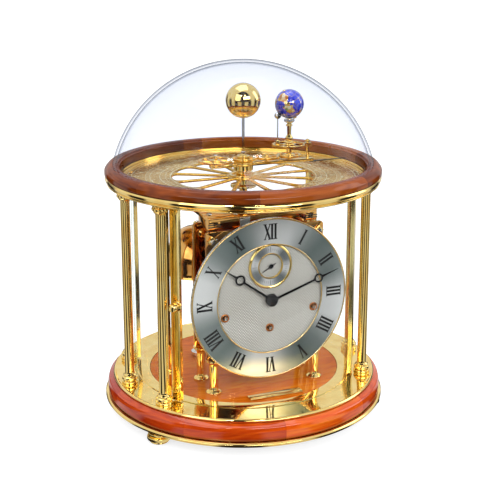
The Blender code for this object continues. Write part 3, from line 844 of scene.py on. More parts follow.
@dataclass
class Base:
    """Feet, bottom plate, veneered plinth, brass ring, veneered floor and nameplate."""

    bead: float = 1.5
    sill: float = 0.6
    step_r: float = 92.8

    def build(self) -> None:
        """Make the whole base."""
        self._feet()
        self._rings()
        self._floor()

    def _feet(self) -> None:
        """Three turned bun feet."""
        for number in (1, 2, 3):
            seat = Seat.of(f"foot_{number}")
            r = seat.radius
            top = seat.high.z
            section = [(0.55, 1.0, 0), (0.62, 0.90, 0.3), (0.92, 0.87, 0.7), (0.92, 0.70, 0.7),
                       (0.72, 0.64, 0.3),
                       (1.0, 0.57, 0.9), (1.0, 0.31, 1.4), (0.72, 0.19, 0.4), (0.8, 0.11, 0.3),
                       (0.6, 0.0, 0.5)]
            profile = [(0, top)] + [(r * a, top * b, c) for a, b, c in section] + [(0, 0)]
            lie = shift(seat.centre.x, seat.centre.y)
            Shape().turn(profile, lie, steps=48).piece(f"bun_foot_{number}", "case", [BRASS],
                                                       (f"foot_{number}",))

    def _rings(self) -> None:
        """Bottom plate, plinth and base ring."""
        seat = Seat.of("base_plate")
        r, low, high = seat.radius, seat.low.z, seat.high.z
        profile = [(0, high), (r - 1.2, high, 1.0), (r, high - 1.1, 0.8), (r, low + 1.1, 0.8),
                   (r - 1.4, low, 0.8), (0, low)]
        Shape().turn(profile, steps=192).piece("bottom_plate", "case", [BRASS], ("base_plate",))
        seat = Seat.of("wood_plinth")
        r, low, high = seat.radius, seat.low.z, seat.high.z
        profile = [(78, low), (r - 1.2, low, 0.5), (r, low + 2.4, 1.4), (r, low + 8.0, 4.0),
                   (r - 1.0, high - 2.2, 2.4), (r - 4.7, high, 1.0), (78, high)]
        Shape().turn(profile, closed=True, steps=192).piece("veneered_plinth", "case", [CHERRY],
                                                            ("wood_plinth",))
        seat = Seat.of("base_ring")
        r, low, high = seat.radius, seat.low.z, seat.high.z
        land = high - self.sill
        profile = [(83, low), (r - 0.7, low, 0.3), (r, low + self.bead, 0.9), (r - 1.2, high, 0.9),
                   (r - 2.6, land, 0.5), (self.step_r + 0.9, land, 0.3), (self.step_r, high, 0.3),
                   (83, high, 0.2)]
        Shape().turn(profile, closed=True, steps=192).piece("moulded_base_ring", "case", [BRASS],
                                                            ("base_ring",))

    def _floor(self) -> None:
        """Veneered floor and the blank nameplate."""
        seat = Seat.of("floor_panel")
        r, low, high = seat.radius, seat.low.z, seat.high.z
        Shape().turn([(0, high), (r, high, 0.2), (r, low), (0, low)], steps=160).piece(
            "veneered_floor", "case", [FLOOR_VENEER], ("floor_panel",))
        seat = Seat.of("name_plate")
        low, high = seat.low, seat.high
        plate = Shape().block((low.x, low.y, low.z), (high.x, high.y, high.z - 0.3), bevel=0.25)
        plate.block((low.x + 1.2, low.y + 1.2, high.z - 0.5), (high.x - 1.2, high.y - 1.2, high.z - 0.1),
                    finish=1, bevel=0.1)
        for side in (-1, 1):
            lie = shift(side * (high.x - 3), seat.centre.y, high.z - 0.3)
            plate.screw(lie, 0.9, 20, metal=0, dark=2)
        plate.piece("blank_nameplate", "case", [BRASS, SATIN, SHADOW], ("name_plate",))


@dataclass
class Columns:
    """Six turned columns with the same moulding at both ends."""

    shaft: float = 4.0
    sink: float = 0.8

    def build(self) -> None:
        """Make every column."""
        for number in range(1, 7):
            node = f"column_{number}"
            seat = Seat.of(node)
            low, high = seat.low.z - self.sink, seat.high.z + 0.2
            r = seat.radius
            half = [(r, 0, 0.3), (r, 1.7, 0.7), (r * 0.80, 2.3, 0.2), (r * 0.80, 2.9, 0.2),
                    (r * 0.97, 3.3, 0.5),
                    (r * 0.97, 5.3, 0.7), (r * 0.76, 5.9, 0.2), (r * 0.80, 6.8, 0.4),
                    (self.shaft + 0.3, 8.2, 0.6),
                    (self.shaft, 9.5, 0.3)]
            upper = [(radius, high - height, *rest) for radius, height, *rest in half]
            lower = [(radius, low + height, *rest) for radius, height, *rest in reversed(half)]
            profile = [(0, high)] + upper + lower + [(0, low)]
            lie = shift(seat.centre.x, seat.centre.y)
            Shape().turn(profile, lie, steps=64).piece(f"turned_{node}", "case", [BRASS], (node,))


@dataclass
class Top:
    """Brass moulding, veneered ring, engraved calendar plate and clear dome."""

    spokes: int = 12
    spoke_w: float = 3.5
    opening_r: float = 60.0
    hub_r: float = 13.0
    wall: float = 2.5
    dome_centre: float = 188.0

    def build(self) -> None:
        """Make the top."""
        self._rings()
        self._calendar()
        self._dome()

    def _rings(self) -> None:
        """Brass moulding and veneered ring."""
        seat = Seat.of("top_ring_brass")
        r, low, high = seat.radius, seat.low.z, seat.high.z
        profile = [(98, low), (r - 4.0, low, 0.3), (r - 2.6, low + 0.2, 0.3), (r - 1.2, low + 1.2, 0.9),
                   (r - 2.6, low + 2.1, 0.3), (r - 1.7, low + 2.6, 0.3), (r - 0.5, low + 3.4, 1.2),
                   (r - 0.1, high - 1.6, 1.0), (r - 0.9, high, 0.5), (103.3, high), (103.3, low + 1.5),
                   (98, low + 1.5)]
        Shape().turn(profile, closed=True, steps=192).piece("top_moulding", "case", [BRASS],
                                                            ("top_ring_brass",))
        seat = Seat.of("top_ring_wood")
        r, low, high = seat.radius, seat.low.z, seat.high.z
        profile = [(104.5, low), (r - 0.8, low, 0.4), (r, low + 1.2, 0.9), (r, low + 4.5, 2.5),
                   (r - 2.6, high - 1.0, 2.2), (r - 5.0, high, 1.0), (106.2, high, 0.6),
                   (105.6, high - 1.6, 0.3),
                   (104.5, high - 2.0, 0.3)]
        Shape().turn(profile, closed=True, steps=192).piece("veneered_top_ring", "case", [TOP_CHERRY],
                                                            ("top_ring_wood",))

    def _slot(self, middle: float) -> Outline:
        """One opening between two spokes, with a round outer end."""
        half = pi / self.spokes
        edge = self.spoke_w / 2
        inner = self.hub_r + 1.5
        corners = []
        for side in (1, -1):
            ray = middle - side * half
            along = Vector((cos(ray), sin(ray)))
            across = Vector((-sin(ray), cos(ray))) * side * edge
            pair = [along * inner + across, along * (self.opening_r - 1.0) + across]
            corners += [(*p, c) for p, c in zip(pair, (0.8, 4.8))][::side]
            if side == 1:
                reach = self.opening_r + 0.6
                corners += [(reach * cos(middle + t * half), reach * sin(middle + t * half),
                             6.0) for t in (-0.35, 0.35)]
        return corners

    def _calendar(self) -> None:
        """The slotted plate, its rim of studs and the ring on its hub."""
        seat = Seat.of("calendar_plate")
        r, low, high = seat.radius, seat.low.z, seat.high.z
        slots = [self._slot(2 * pi * (i + 0.5) / self.spokes) for i in range(self.spokes)]
        plate = Shape().plate([circle(r, steps=160), circle(6.6)] + slots, low, high, bevel=0.85, segments=4)
        plate.turn([(r - 0.1, high - 0.4), (r - 0.1, high + 0.9, 0.4), (r - 2.0, high + 0.9, 0.4),
                    (r - 2.0, high - 0.4)],
                   closed=True, finish=1, steps=160)
        plate.turn([(9.5, high - 0.4), (12.2, high - 0.4), (12.2, high + 1.2, 0.5), (9.5, high + 1.2, 0.5)],
                   closed=True,
                   finish=1)
        for i in range(6):
            angle = 2 * pi * (i + 0.5) / 6
            plate.screw(shift(98.0 * cos(angle), 98.0 * sin(angle), high), 1.6, degrees(angle), metal=1)
        plate.piece("calendar_wheel_plate", "case", [PLATE, BRASS, SHADOW], ("calendar_plate",))

    def _dome(self) -> None:
        """The clear dome, a spherical cap with one wall."""
        seat = Seat.of("dome")
        outer = seat.high.z - self.dome_centre
        foot = seat.low.z - self.dome_centre
        profile = []
        for radius, way in ((outer, 1), (outer - self.wall, -1)):
            end = acos(foot / radius)
            profile += [(radius * sin(end * i / 56), radius * cos(end * i / 56)) for i in range(57)][::way]
        Shape().turn(profile, shift(z=self.dome_centre), steps=160).piece("clear_dome", "dome", [ACRYLIC],
                                                                          ("dome",))


@dataclass
class Glazing:
    """Fixed panes, and the hinged front door with its stiles and knob."""

    inner: float = 94.0
    outer: float = 96.0
    stile_in: float = 93.2
    stile_out: float = 96.4
    door_edge: float = 56.2
    stile_w: float = 8.9
    knob_angle: float = -54.6

    def build(self) -> None:
        """Make the panes and the door."""
        low, high = Seat.of("glass_rear").low.z, Seat.of("glass_rear").high.z
        for node, start, end in (("glass_left", -119, -62), ("glass_right", 62, 119),
                                 ("glass_rear", 121, 239)):
            Shape().plate([arc_band(self.inner, self.outer, start, end)], low, high, bevel=0.2).piece(
                f"curved_{node}", "case", [GLASS], (node,))
        strips = Shape()
        for angle in (-61.4, 61.4, -120, 120):
            strips.plate([arc_band(self.inner - 0.5, self.outer + 0.4, angle - 0.55, angle + 0.55, 4)], low,
                         high, bevel=0.2)
        strips.piece("pane_edge_strips", "case", [BRASS])
        self._door(low, high)

    def _door(self, low: float, high: float) -> None:
        """Door pane, stiles and knob."""
        half = degrees(self.stile_w / 2 / ((self.inner + self.outer) / 2))
        edge = self.door_edge - half - 0.1
        Shape().plate([arc_band(self.inner, self.outer, -edge, edge)], low, high, bevel=0.2).piece(
            "curved_door_glass", "door", [GLASS], ("door_glass",))
        for side, name in ((-1, "left"), (1, "right")):
            angle = side * self.door_edge
            band = arc_band(self.stile_in, self.stile_out, angle - half, angle + half, 12)
            Shape().plate([band], low, high, bevel=0.45).piece(f"{name}_stile", "door", [STILE],
                                                               (f"door_stile_{name}",))
        seat = Seat.of("door_knob")
        start = self.stile_out + 0.1
        profile = [(0, start), (4.1, start, 0.2), (4.1, start + 0.9, 0.4), (1.9, start + 1.5, 0.5),
                   (1.9, start + 2.6, 0.6),
                   (3.7, start + 4.2, 1.4), (3.9, start + 6.6, 1.6), (2.9, start + 8.6, 1.6),
                   (0, start + 9.2)]
        lie = shift(z=seat.centre.z) @ Matrix.Rotation(radians(self.knob_angle), 4,
                                                       "Z") @ Matrix.Rotation(radians(90), 4, "X")
        Shape().turn(profile, lie, steps=64).piece("turned_door_knob", "door", [BRASS], ("door_knob",))


# ---------------------------------------------------------------- the dial

class Numeral(Enum):
    """The strokes of a Roman numeral's letters: foot x, head x and weight, in letter widths."""

    I = ((0.0, 0.0, 1.0),)
    V = ((0.0, -0.40, 1.0), (0.0, 0.40, 0.45))
    X = ((0.42, -0.42, 1.0), (-0.42, 0.42, 0.45))


HOURS = ("XII", "I", "II", "III", "IIII", "V", "VI", "VII", "VIII", "IX", "X", "XI")


@dataclass
class Dial:
    """Woven middle, silvered chapter ring with numerals, small selector ring, ferrules and hands."""

    low_r: float = 51.2
    high_r: float = 63.8
    weight: float = 1.8
    serif: float = 0.6
    stem: float = 3.0
    broad: float = 5.2
    ink: float = 0.14

    def build(self) -> None:
        """Make the dial and its hands."""
        self.z = Seat.of("dial_plate").centre.z
        self.small_z = Seat.of("selector_ring").centre.z
        self.face = -Seat.of("dial_plate").low.y
        self.front = -Seat.of("chapter_ring").low.y
        # Both silverings carry painted highlights: pale sectors by angle, with painted dim reflection in the
        # dark colour between them.
        self.silver = Spun("spun_silver_painted_highlights", "silver", (0.95, 0.97, 0.96), (0.16, 0.21, 0.20), self.z,
                           ((8, 14), (102, 14)))
        self.small_silver = Spun("spun_small_silver_painted_highlights", "silver", (0.95, 0.96, 0.96), (0.20, 0.23, 0.24),
                                 self.small_z,
                                 ((10, 10), (100, 14)))
        self.rim = Metal("beaded_rim", "brass", (0.95, 0.74, 0.38), (0.75, 0.50, 0.2), roughness=0.10,
                         wave=0.3)
        self.weave = Weave("basket_weave", "guilloche", (0.98, 0.96, 0.88), (0.10, 0.09, 0.07), 2.15, 1.25,
                           self.z)
        self._plate()
        self._chapter()
        self._selector()
        self._hands()

    def _plate(self) -> None:
        """The dial plate with its winding holes and their ferrules."""
        arbors = [Seat.of(node).centre for node in ("chime_barrel", "going_barrel", "strike_barrel")]
        radius = Seat.of("dial_plate").radius
        back = -Seat.of("dial_plate").high.y
        holes = [circle(2.6, at.x, at.z - self.z, 32) for at in arbors]
        plate = Shape().plate([circle(radius, steps=160), circle(1.8, steps=24)] + holes, back, self.face,
                              facing(0, self.z), bevel=0.3)
        for at in arbors:
            plate.turn([(2.35, back - 4), (3.2, back - 4), (3.2, self.face), (3.7, self.face, 0.2),
                        (3.6, self.face + 0.8, 0.35), (2.35, self.face + 0.5, 0.3)], facing(at.x, at.z), 1,
                        True, 40)
        plate.turn([(1.5, self.face - 1), (2.4, self.face - 1), (2.4, self.face + 1.2, 0.3),
                    (1.5, self.face + 1.2, 0.3)],
                   facing(0, self.z), 1, True, 32)
        plate.piece("woven_dial_plate", "case", [self.weave, COPPER], ("dial_plate",))

    def _bead(self, shape: Shape, radius: float, thick: float, front: float, z: float, finish: int) -> None:
        """A ring of round wire on the dial's face."""
        profile = [(radius + thick * cos(pi * i / 8), front + thick * sin(pi * i / 8)) for i in range(16)]
        shape.turn(profile, facing(0, z), finish, True, 160)

    def _chapter(self) -> None:
        """The chapter ring, its rims and its numerals."""
        seat = Seat.of("chapter_ring")
        inner, outer = 46.5, seat.radius
        ring = Shape().turn([(inner, self.face + 0.2), (outer, self.face + 0.2), (outer, self.front, 0.4),
                             (inner, self.front, 0.2)], facing(0, self.z), 0, True, 192)
        self._bead(ring, outer - 0.2, 0.75, self.front - 0.2, self.z, 1)
        self._bead(ring, inner, 0.62, self.front - 0.1, self.z, 1)
        ring.piece("silvered_chapter_ring", "case", [self.silver, self.rim], ("chapter_ring",))
        ink = Shape()
        for hour, letters in enumerate(HOURS):
            self._numeral(ink, letters, facing(0, self.z, hour * 30))
        ink.piece("roman_numerals", "case", [INK])

    def _numeral(self, ink: Shape, letters: str, lie: Matrix) -> None:
        """One numeral, with its foot towards the dial's centre."""
        widths = [self.stem if letter == "I" else self.broad for letter in letters]
        at = -sum(widths) / 2
        for letter, width in zip(letters, widths):
            middle = at + width / 2
            for foot, head, weight in Numeral[letter].value:
                self._stroke(ink, middle + foot * width, middle + head * width, weight * self.weight, lie)
            at += width

    def _stroke(self, ink: Shape, foot: float, head: float, weight: float, lie: Matrix) -> None:
        """One slanting stroke with a serif at each end."""
        half = weight / 2
        bar = [(foot - half, self.low_r), (foot + half, self.low_r), (head + half, self.high_r),
               (head - half, self.high_r)]
        ink.plate([bar], self.front - 0.05, self.front + self.ink, lie)
        for x, y in ((foot, self.low_r), (head, self.high_r)):
            wide = half + 0.62
            edge = self.serif / 2
            ink.plate([[(x - wide, y - edge), (x + wide, y - edge), (x + wide, y + edge),
                        (x - wide, y + edge)]],
                      self.front - 0.05, self.front + self.ink, lie)

    def _selector(self) -> None:
        """The small ring over the centre, with plain divisions and two gold rims."""
        seat = Seat.of("selector_ring")
        inner, outer = 11.0, seat.radius
        lie = facing(0, self.small_z)
        ring = Shape().turn([(inner, self.face), (outer, self.face), (outer, self.front, 0.2),
                             (inner, self.front, 0.2)],
                            lie, 0, True, 96)
        ring.turn([(outer - 1.2, self.front - 0.2), (outer - 1.0, self.front + 0.5, 0.2),
                   (outer, self.front + 0.9, 0.4),
                   (outer + 0.9, self.front + 0.2, 0.4), (outer + 0.9, self.face), (outer - 1.2, self.face)],
                   lie, 1,
                  True, 96)
        ring.turn([(inner - 1.0, self.face), (inner - 1.0, self.front + 0.4, 0.3),
                   (inner, self.front + 0.5, 0.3),
                   (inner + 0.2, self.face)], lie, 1, True, 72)
        for i in range(48):
            long = i % 6 == 0
            low, high = (inner + 1.0, outer - 2.0) if long else (inner + 2.0, outer - 3.2)
            wide = 0.2 if long else 0.13
            bar = [(-wide, low), (wide, low), (wide, high), (-wide, high)]
            ring.plate([bar], self.front - 0.05, self.front + 0.08, facing(0, self.small_z, i * 7.5), 2)
        ring.piece("selector_dial", "case", [self.small_silver, BRASS, INK], ("selector_ring",))

    def _hand(self, length: float, eye: float, eye_r: float, eye_in: float, hub_r: float,
              waist: float) -> list[Outline]:
        """A hand that points up: hub, thin blade, ring and fine tip, then the ring's eye."""
        side = [(waist, sqrt(hub_r ** 2 - waist ** 2)), (waist * 0.8, eye - eye_r - 1.5),
                (waist * 1.1, eye - eye_r)]
        side += [(eye_r * sin(radians(t)), eye - eye_r * cos(radians(t))) for t in range(20, 165, 12)]
        side += [(waist * 1.0, eye + eye_r + 0.4), (waist * 0.7, eye + eye_r + 3), (0.12, length)]
        hub = [(hub_r * sin(radians(t)), hub_r * cos(radians(t))) for t in range(346, 13, -10)]
        return [side + [(-x, y) for x, y in reversed(side)] + hub, circle(eye_in, 0, eye, 32)]

    def _hands(self) -> None:
        """Minute, hour and selector hands, each on its own body."""
        minute = Shape().plate(self._hand(63, 44, 4.0, 2.6, 5.2, 1.0), 64.2, 65.0, facing(0, self.z, 71),
                               bevel=0.15)
        minute.turn([(0, 66.5), (2.2, 66.3, 0.4), (2.6, 65.6, 0.3), (5.0, 65.3, 0.4), (5.2, 64.4),
                     (1.2, 64.2), (1.2, 46), (0, 46)],
                    facing(0, self.z), 0, steps=48)
        minute.piece("black_minute_hand", "minute_hand", [BLACK], ("minute_hand",))
        hour = Shape().plate(self._hand(51, 34, 4.5, 2.9, 5.4, 1.05) + [circle(1.5, steps=20)], 62.4, 63.2,
                             facing(0, self.z, 306), bevel=0.15)
        hour.piece("black_hour_hand", "hour_hand", [BLACK], ("hour_hand",))
        blade = [(-0.35, -4.6), (0.35, -4.6), (0.45, 0), (0.42, 5), (0.12, 9.6), (-0.12, 9.6), (-0.42, 5),
                 (-0.45, 0)]
        lie = facing(0, self.small_z, 240)
        small = Shape().plate([blade], 61.5, 62.0, lie)
        small.turn([(0, 62.1), (2.0, 62.1, 0.3), (2.1, 61.4), (0, 61.4)], lie, steps=32)
        small.turn([(0, 61.5), (0.7, 61.5), (0.7, 59.2), (0, 59.2)], lie, 1, steps=16)
        small.piece("black_selector_hand", "selector_hand", [BLACK, COPPER], ("selector_hand",))


# ---------------------------------------------------------------- the movement

@dataclass
class Movement:
    """Plates and pillars, barrels, balance, bells, hammer and the visible part of the wheel train."""

    plate_bevel: float = 0.3
    hammer_y: float = -7.0

    def build(self) -> None:
        """Make the whole movement."""
        self._plates()
        self._legs()
        self._barrels()
        self._train()
        self._balance()
        self._bells()
        self._bridge()

    def _plates(self) -> None:
        """Front and back plates with their pillars, straps and screws."""
        arbors = [Seat.of(node).centre for node in ("chime_barrel", "going_barrel", "strike_barrel")]
        dial_z = Seat.of("dial_plate").centre.z
        for node in ("front_plate", "back_plate"):
            seat = Seat.of(node)
            low, high = seat.low, seat.high
            near = -low.y
            far = near - 2.5 if node == "front_plate" else 16.0
            near = far + 2.5
            shape = [(low.x, low.z, 3), (high.x, low.z, 3), (high.x, high.z, 3), (low.x, high.z, 3)]
            holes = [circle(2.2, at.x, at.z, 24) for at in arbors]
            holes.append(circle(1.8, 0, dial_z, 20) if node == "front_plate" else circle(1.4, 24, 150, 20))
            plate = Shape().plate([shape] + holes, far, near, facing(), bevel=self.plate_bevel)
            corners = [(x, z) for x in (-44, 44) for z in (70, 163)]
            for x, z in corners:
                plate.screw(facing(x, z) @ shift(z=near), 2.6, x + z)
                plate.turn([(0, 0.6), (3.6, 0.6, 0.2), (3.6, 0), (0, 0)], facing(x, z) @ shift(z=near), 0,
                           steps=32)
            if node == "front_plate":
                self._straps(plate, near)
            else:
                self._pillars(plate, corners, near)
            plate.piece(f"polished_{node}", "case", [WARM, NICKEL, SHADOW, BRASS], (node,))

    def _straps(self, plate: Shape, near: float) -> None:
        """A slanting strap with screws at each upper corner of the front plate, and a black disc of painted
        shade standing for a hole.
        """
        for side in (-1, 1):
            lie = facing(side * 43, 160, side * 48)
            plate.block((-3.2, -11, near + 0.6), (3.2, 9, near + 2.6), lie, 3, 0.6)
            plate.screw(lie @ shift(0, 5.5, near + 2.6), 2.4, 15)
            plate.screw(lie @ shift(0, -2.0, near + 2.6), 1.6, 70)
            # A thin black disc: painted shade standing for a hole in the strap.
            plate.turn([(0, 0.1), (1.3, 0.1), (1.3, 0), (0, 0)], lie @ shift(0, -7.5, near + 2.6), 2,
                       steps=20)

    def _pillars(self, plate: Shape, corners: list, near: float) -> None:
        """Turned pillars between the plates, and the hammer's lug."""
        for x, z in corners:
            plate.turn([(0, near), (4.2, near, 0.4), (4.2, near + 3, 0.8), (2.6, near + 4.5, 0.5),
                        (3.0, near + 14, 1),
                        (2.6, 42.5, 0.5), (4.2, 44, 0.8), (4.2, 47.2, 0.4), (0, 47.2)], facing(x, z), 0,
                        steps=32)
        seat = Seat.of("bell_hammer")
        y, z = self.hammer_y, seat.low.z + 2.2
        plate.block((-39, -16.5, z - 4), (-35, y + 3, z + 4), bevel=0.5)
        plate.rod((-37, y, z), (-25, y, z), 1.0, 1)

    def _legs(self) -> None:
        """Four turned legs with flanges."""
        for number in (1, 2, 3, 4):
            node = f"movement_leg_{number}"
            seat = Seat.of(node)
            r = seat.radius
            low, high = seat.low.z, seat.high.z
            half = [(r, 0.0, 0.2), (r, 1.3, 0.4), (r * 0.86, 2.2, 0.4), (r * 0.62, 3.4, 0.6),
                    (r * 0.56, 5.5, 0.5)]
            profile = [(0, high)] + [(a, high - b, c) for a, b, c in half] + [(a, low - 0.3 + b, c) for a, b,
                                                                              c in
                                                                            reversed(half)] + [(0, low - 0.3)]
            leg = Shape().turn(profile, shift(seat.centre.x, seat.centre.y), steps=48)
            for turn in (30, 150, 270):
                x, y = around(r * 0.8, turn)
                leg.screw(shift(seat.centre.x + x, seat.centre.y + y, low + 1.0), 0.8, turn)
            leg.piece(f"turned_leg_{number}", "case", [BRASS, NICKEL, SHADOW], (node,))

    def _barrels(self) -> None:
        """Spring barrels, each with its great wheel and squared winding arbor."""
        for node in ("chime_barrel", "going_barrel", "strike_barrel"):
            seat = Seat.of(node)
            lie = facing(seat.centre.x, seat.centre.z)
            tip = -seat.low.y
            r = seat.radius
            barrel = Shape().turn([(0, 50), (1.7, 50), (1.7, 46.5), (r - 1.4, 46.5, 0.3),
                                   (r - 1.2, 45.6, 0.3), (r - 1.2, 28),
                                   (1.6, 27), (1.6, 15, 0.2), (0, 15)], lie, steps=72)
            barrel.plate([gear_rim(72, r - 0.5), circle(1.4, steps=20)], 25.0, 27.0, lie)
            barrel.block((-1.15, -1.15, 49), (1.15, 1.15, tip), lie, 1, 0.25)
            barrel.screw(lie @ shift(5.5, 0, 46.5), 1.5, 40)
            barrel.screw(lie @ shift(-5.5, 0, 46.5), 1.5, 80)
            barrel.piece(f"wound_{node}", node, [BRASS, NICKEL, SHADOW], (node,))

    def _train(self) -> None:
        """The fixed wheels and pinions seen between the plates."""
        train = Shape()
        for x, z, teeth, radius, level in ((-22, 124, 80, 13.0, 40), (-36, 146, 60, 10.0, 36),
                                           (0, 138, 84, 13.5, 22),
                                           (20, 122, 72, 12.0, 32), (37, 140, 64, 10.5, 41),
                                           (14, 158, 48, 7.5, 28),
                                           (-14, 156, 56, 9.0, 44), (-20, 80, 64, 10.5, 33),
                                           (22, 76, 64, 10.0, 38)):
            lie = facing(x, z)
            train.plate([gear_rim(teeth, radius), circle(1.1, steps=16)] + crossing(3.2, radius - 2.4, 5,
                                                                                    1.5), level,
                        level + 1.3, lie)
            train.turn([(0, 18), (0.8, 18), (0.8, level - 6), (2.2, level - 6, 0.3), (2.2, level + 2.2, 0.3),
                        (0.8, level + 3),
                        (0.8, 48), (0, 48)], lie, 1, steps=20)
        train.piece("wheel_train", "case", [BRASS, NICKEL])

    def _balance(self) -> None:
        """The balance: rim, arms, staff and hairspring coils."""
        seat = Seat.of("balance_wheel")
        lie = facing(seat.centre.x, seat.centre.z)
        r = seat.radius
        wheel = Shape().plate([circle(r, steps=72)] + crossing(2.0, r - 1.4, 2, 1.4), 10.4, 12.4, lie,
                              bevel=0.2)
        wheel.turn([(0, 17), (0.7, 17), (0.7, 13), (1.8, 12.8, 0.2), (1.8, 10.2, 0.2), (0.7, 10), (0.7, 6),
                    (0, 6)], lie, 1,
                   steps=24)
        for coil in range(5):
            radius = 2.6 + coil * 0.7
            wheel.turn([(radius, 8.0), (radius + 0.12, 8.0), (radius + 0.12, 8.7), (radius, 8.7)], lie, 1,
                       True, 40)
        wheel.piece("balance_with_spring", "balance", [BRASS, NICKEL], ("balance_wheel",))

    def _bells(self) -> None:
        """Two nested bells on their post, and the hammer."""
        for node, wall in (("large_bell", 1.3), ("small_bell", 1.2)):
            seat = Seat.of(node)
            r = seat.radius - 0.6
            low, rise = seat.low.z, seat.high.z - seat.low.z
            outer = [(2.6 + (r - 2.6) * sin(radians(t)) ** 0.9,
                      low + rise * cos(radians(t)) ** 0.8) for t in range(0, 91, 6)]
            outer[-1] = (r, low + 1.2)
            outer.append((r + 0.6, low + 0.2))
            inner = [(x - wall, z - wall * (z > low + 2)) for x, z in outer[1:]]
            profile = outer + [(r + 0.2, low)] + inner[::-1] + [(2.6, low + rise - wall)]
            Shape().turn(profile, shift(seat.centre.x, seat.centre.y), closed=True, steps=96).piece(
                f"spun_{node}", "case", [WARM], (node,))
        seat = Seat.of("bell_post")
        low, high = seat.low.z, seat.high.z
        post = Shape().turn([(0, high), (1.5, high, 0.4), (1.6, high - 1), (1.6, high - 6), (2.4, 141, 0.3),
                             (2.4, 40),
                             (6.8, 36, 0.8), (seat.radius, low, 0.2), (0, low)],
                             shift(seat.centre.x, seat.centre.y), steps=40)
        post.turn([(0, high - 1), (3.6, high - 1, 0.4), (3.6, high - 3.4, 0.4), (0, high - 3.4)],
                  shift(seat.centre.x, seat.centre.y), 1, steps=6)
        post.piece("bell_stand", "case", [NICKEL, BRASS], ("bell_post",))
        self._hammer()

    def _hammer(self) -> None:
        """The hammer's sleeve, lever and head."""
        seat = Seat.of("bell_hammer")
        x, y, z = seat.centre.x, -7.0, seat.low.z + 2.2
        hammer = Shape().turn([(1.2, -3, 0.1), (2.2, -3, 0.3), (2.2, 3, 0.3), (1.2, 3, 0.1)],
                              shift(x, y, z) @ Matrix.Rotation(radians(90), 4, "Y"), closed=True, steps=32)
        hammer.block((x - 0.9, y - 0.7, z + 1.6), (x + 0.9, y + 0.7, z + 25), bevel=0.3)
        hammer.rod((x, y - 2, z + 26), (x, y + 10.9, z + 26), 2.9, 1, bevel=0.6)
        hammer.piece("striking_hammer", "hammer", [NICKEL, BRASS], ("bell_hammer",))

    def _bridge(self) -> None:
        """The bridge over the movement, with its tower, screws and ribs; the ribs across its side blocks are
        black, as painted shade.
        """
        seat = Seat.of("drive_bridge")
        low, high = seat.low, seat.high
        deck = 178.0
        bridge = Shape().block((low.x, low.y, deck), (high.x, high.y - 5, deck + 3), bevel=0.5)
        for side in (-1, 1):
            inner, outer = sorted((side * 38, side * 48))
            bridge.block((inner, -46, low.z), (outer, -20, deck + 0.5), bevel=0.5)
            # Black strips across the side block's front: painted shade lines.
            for level in (173.5, 175.5):
                bridge.block((inner - 0.3, -46.4, level), (outer + 0.3, -45, level + 0.7), finish=2,
                             bevel=0.05)
            bridge.screw(shift(side * 43, -33, deck + 3), 2.4, 25 * side)
            bridge.screw(shift(side * 22, -38, deck + 3), 1.8, 60 * side)
        bridge.turn([(0, 184), (8.8, 184, 0.6), (9.0, 178, 0.4), (0, 178)], steps=64)
        for turn in range(0, 360, 60):
            x, y = around(6.5, turn)
            bridge.screw(shift(x, y, 183.6), 1.1, turn)
        bridge.block((-22, -48.5, 173.5), (-13, -46.2, 180.5), finish=1, bevel=0.4)
        bridge.piece("drive_bridge_finished", "case", [WARM, NICKEL, SHADOW], ("drive_bridge",))


# ---------------------------------------------------------------- the tellurium

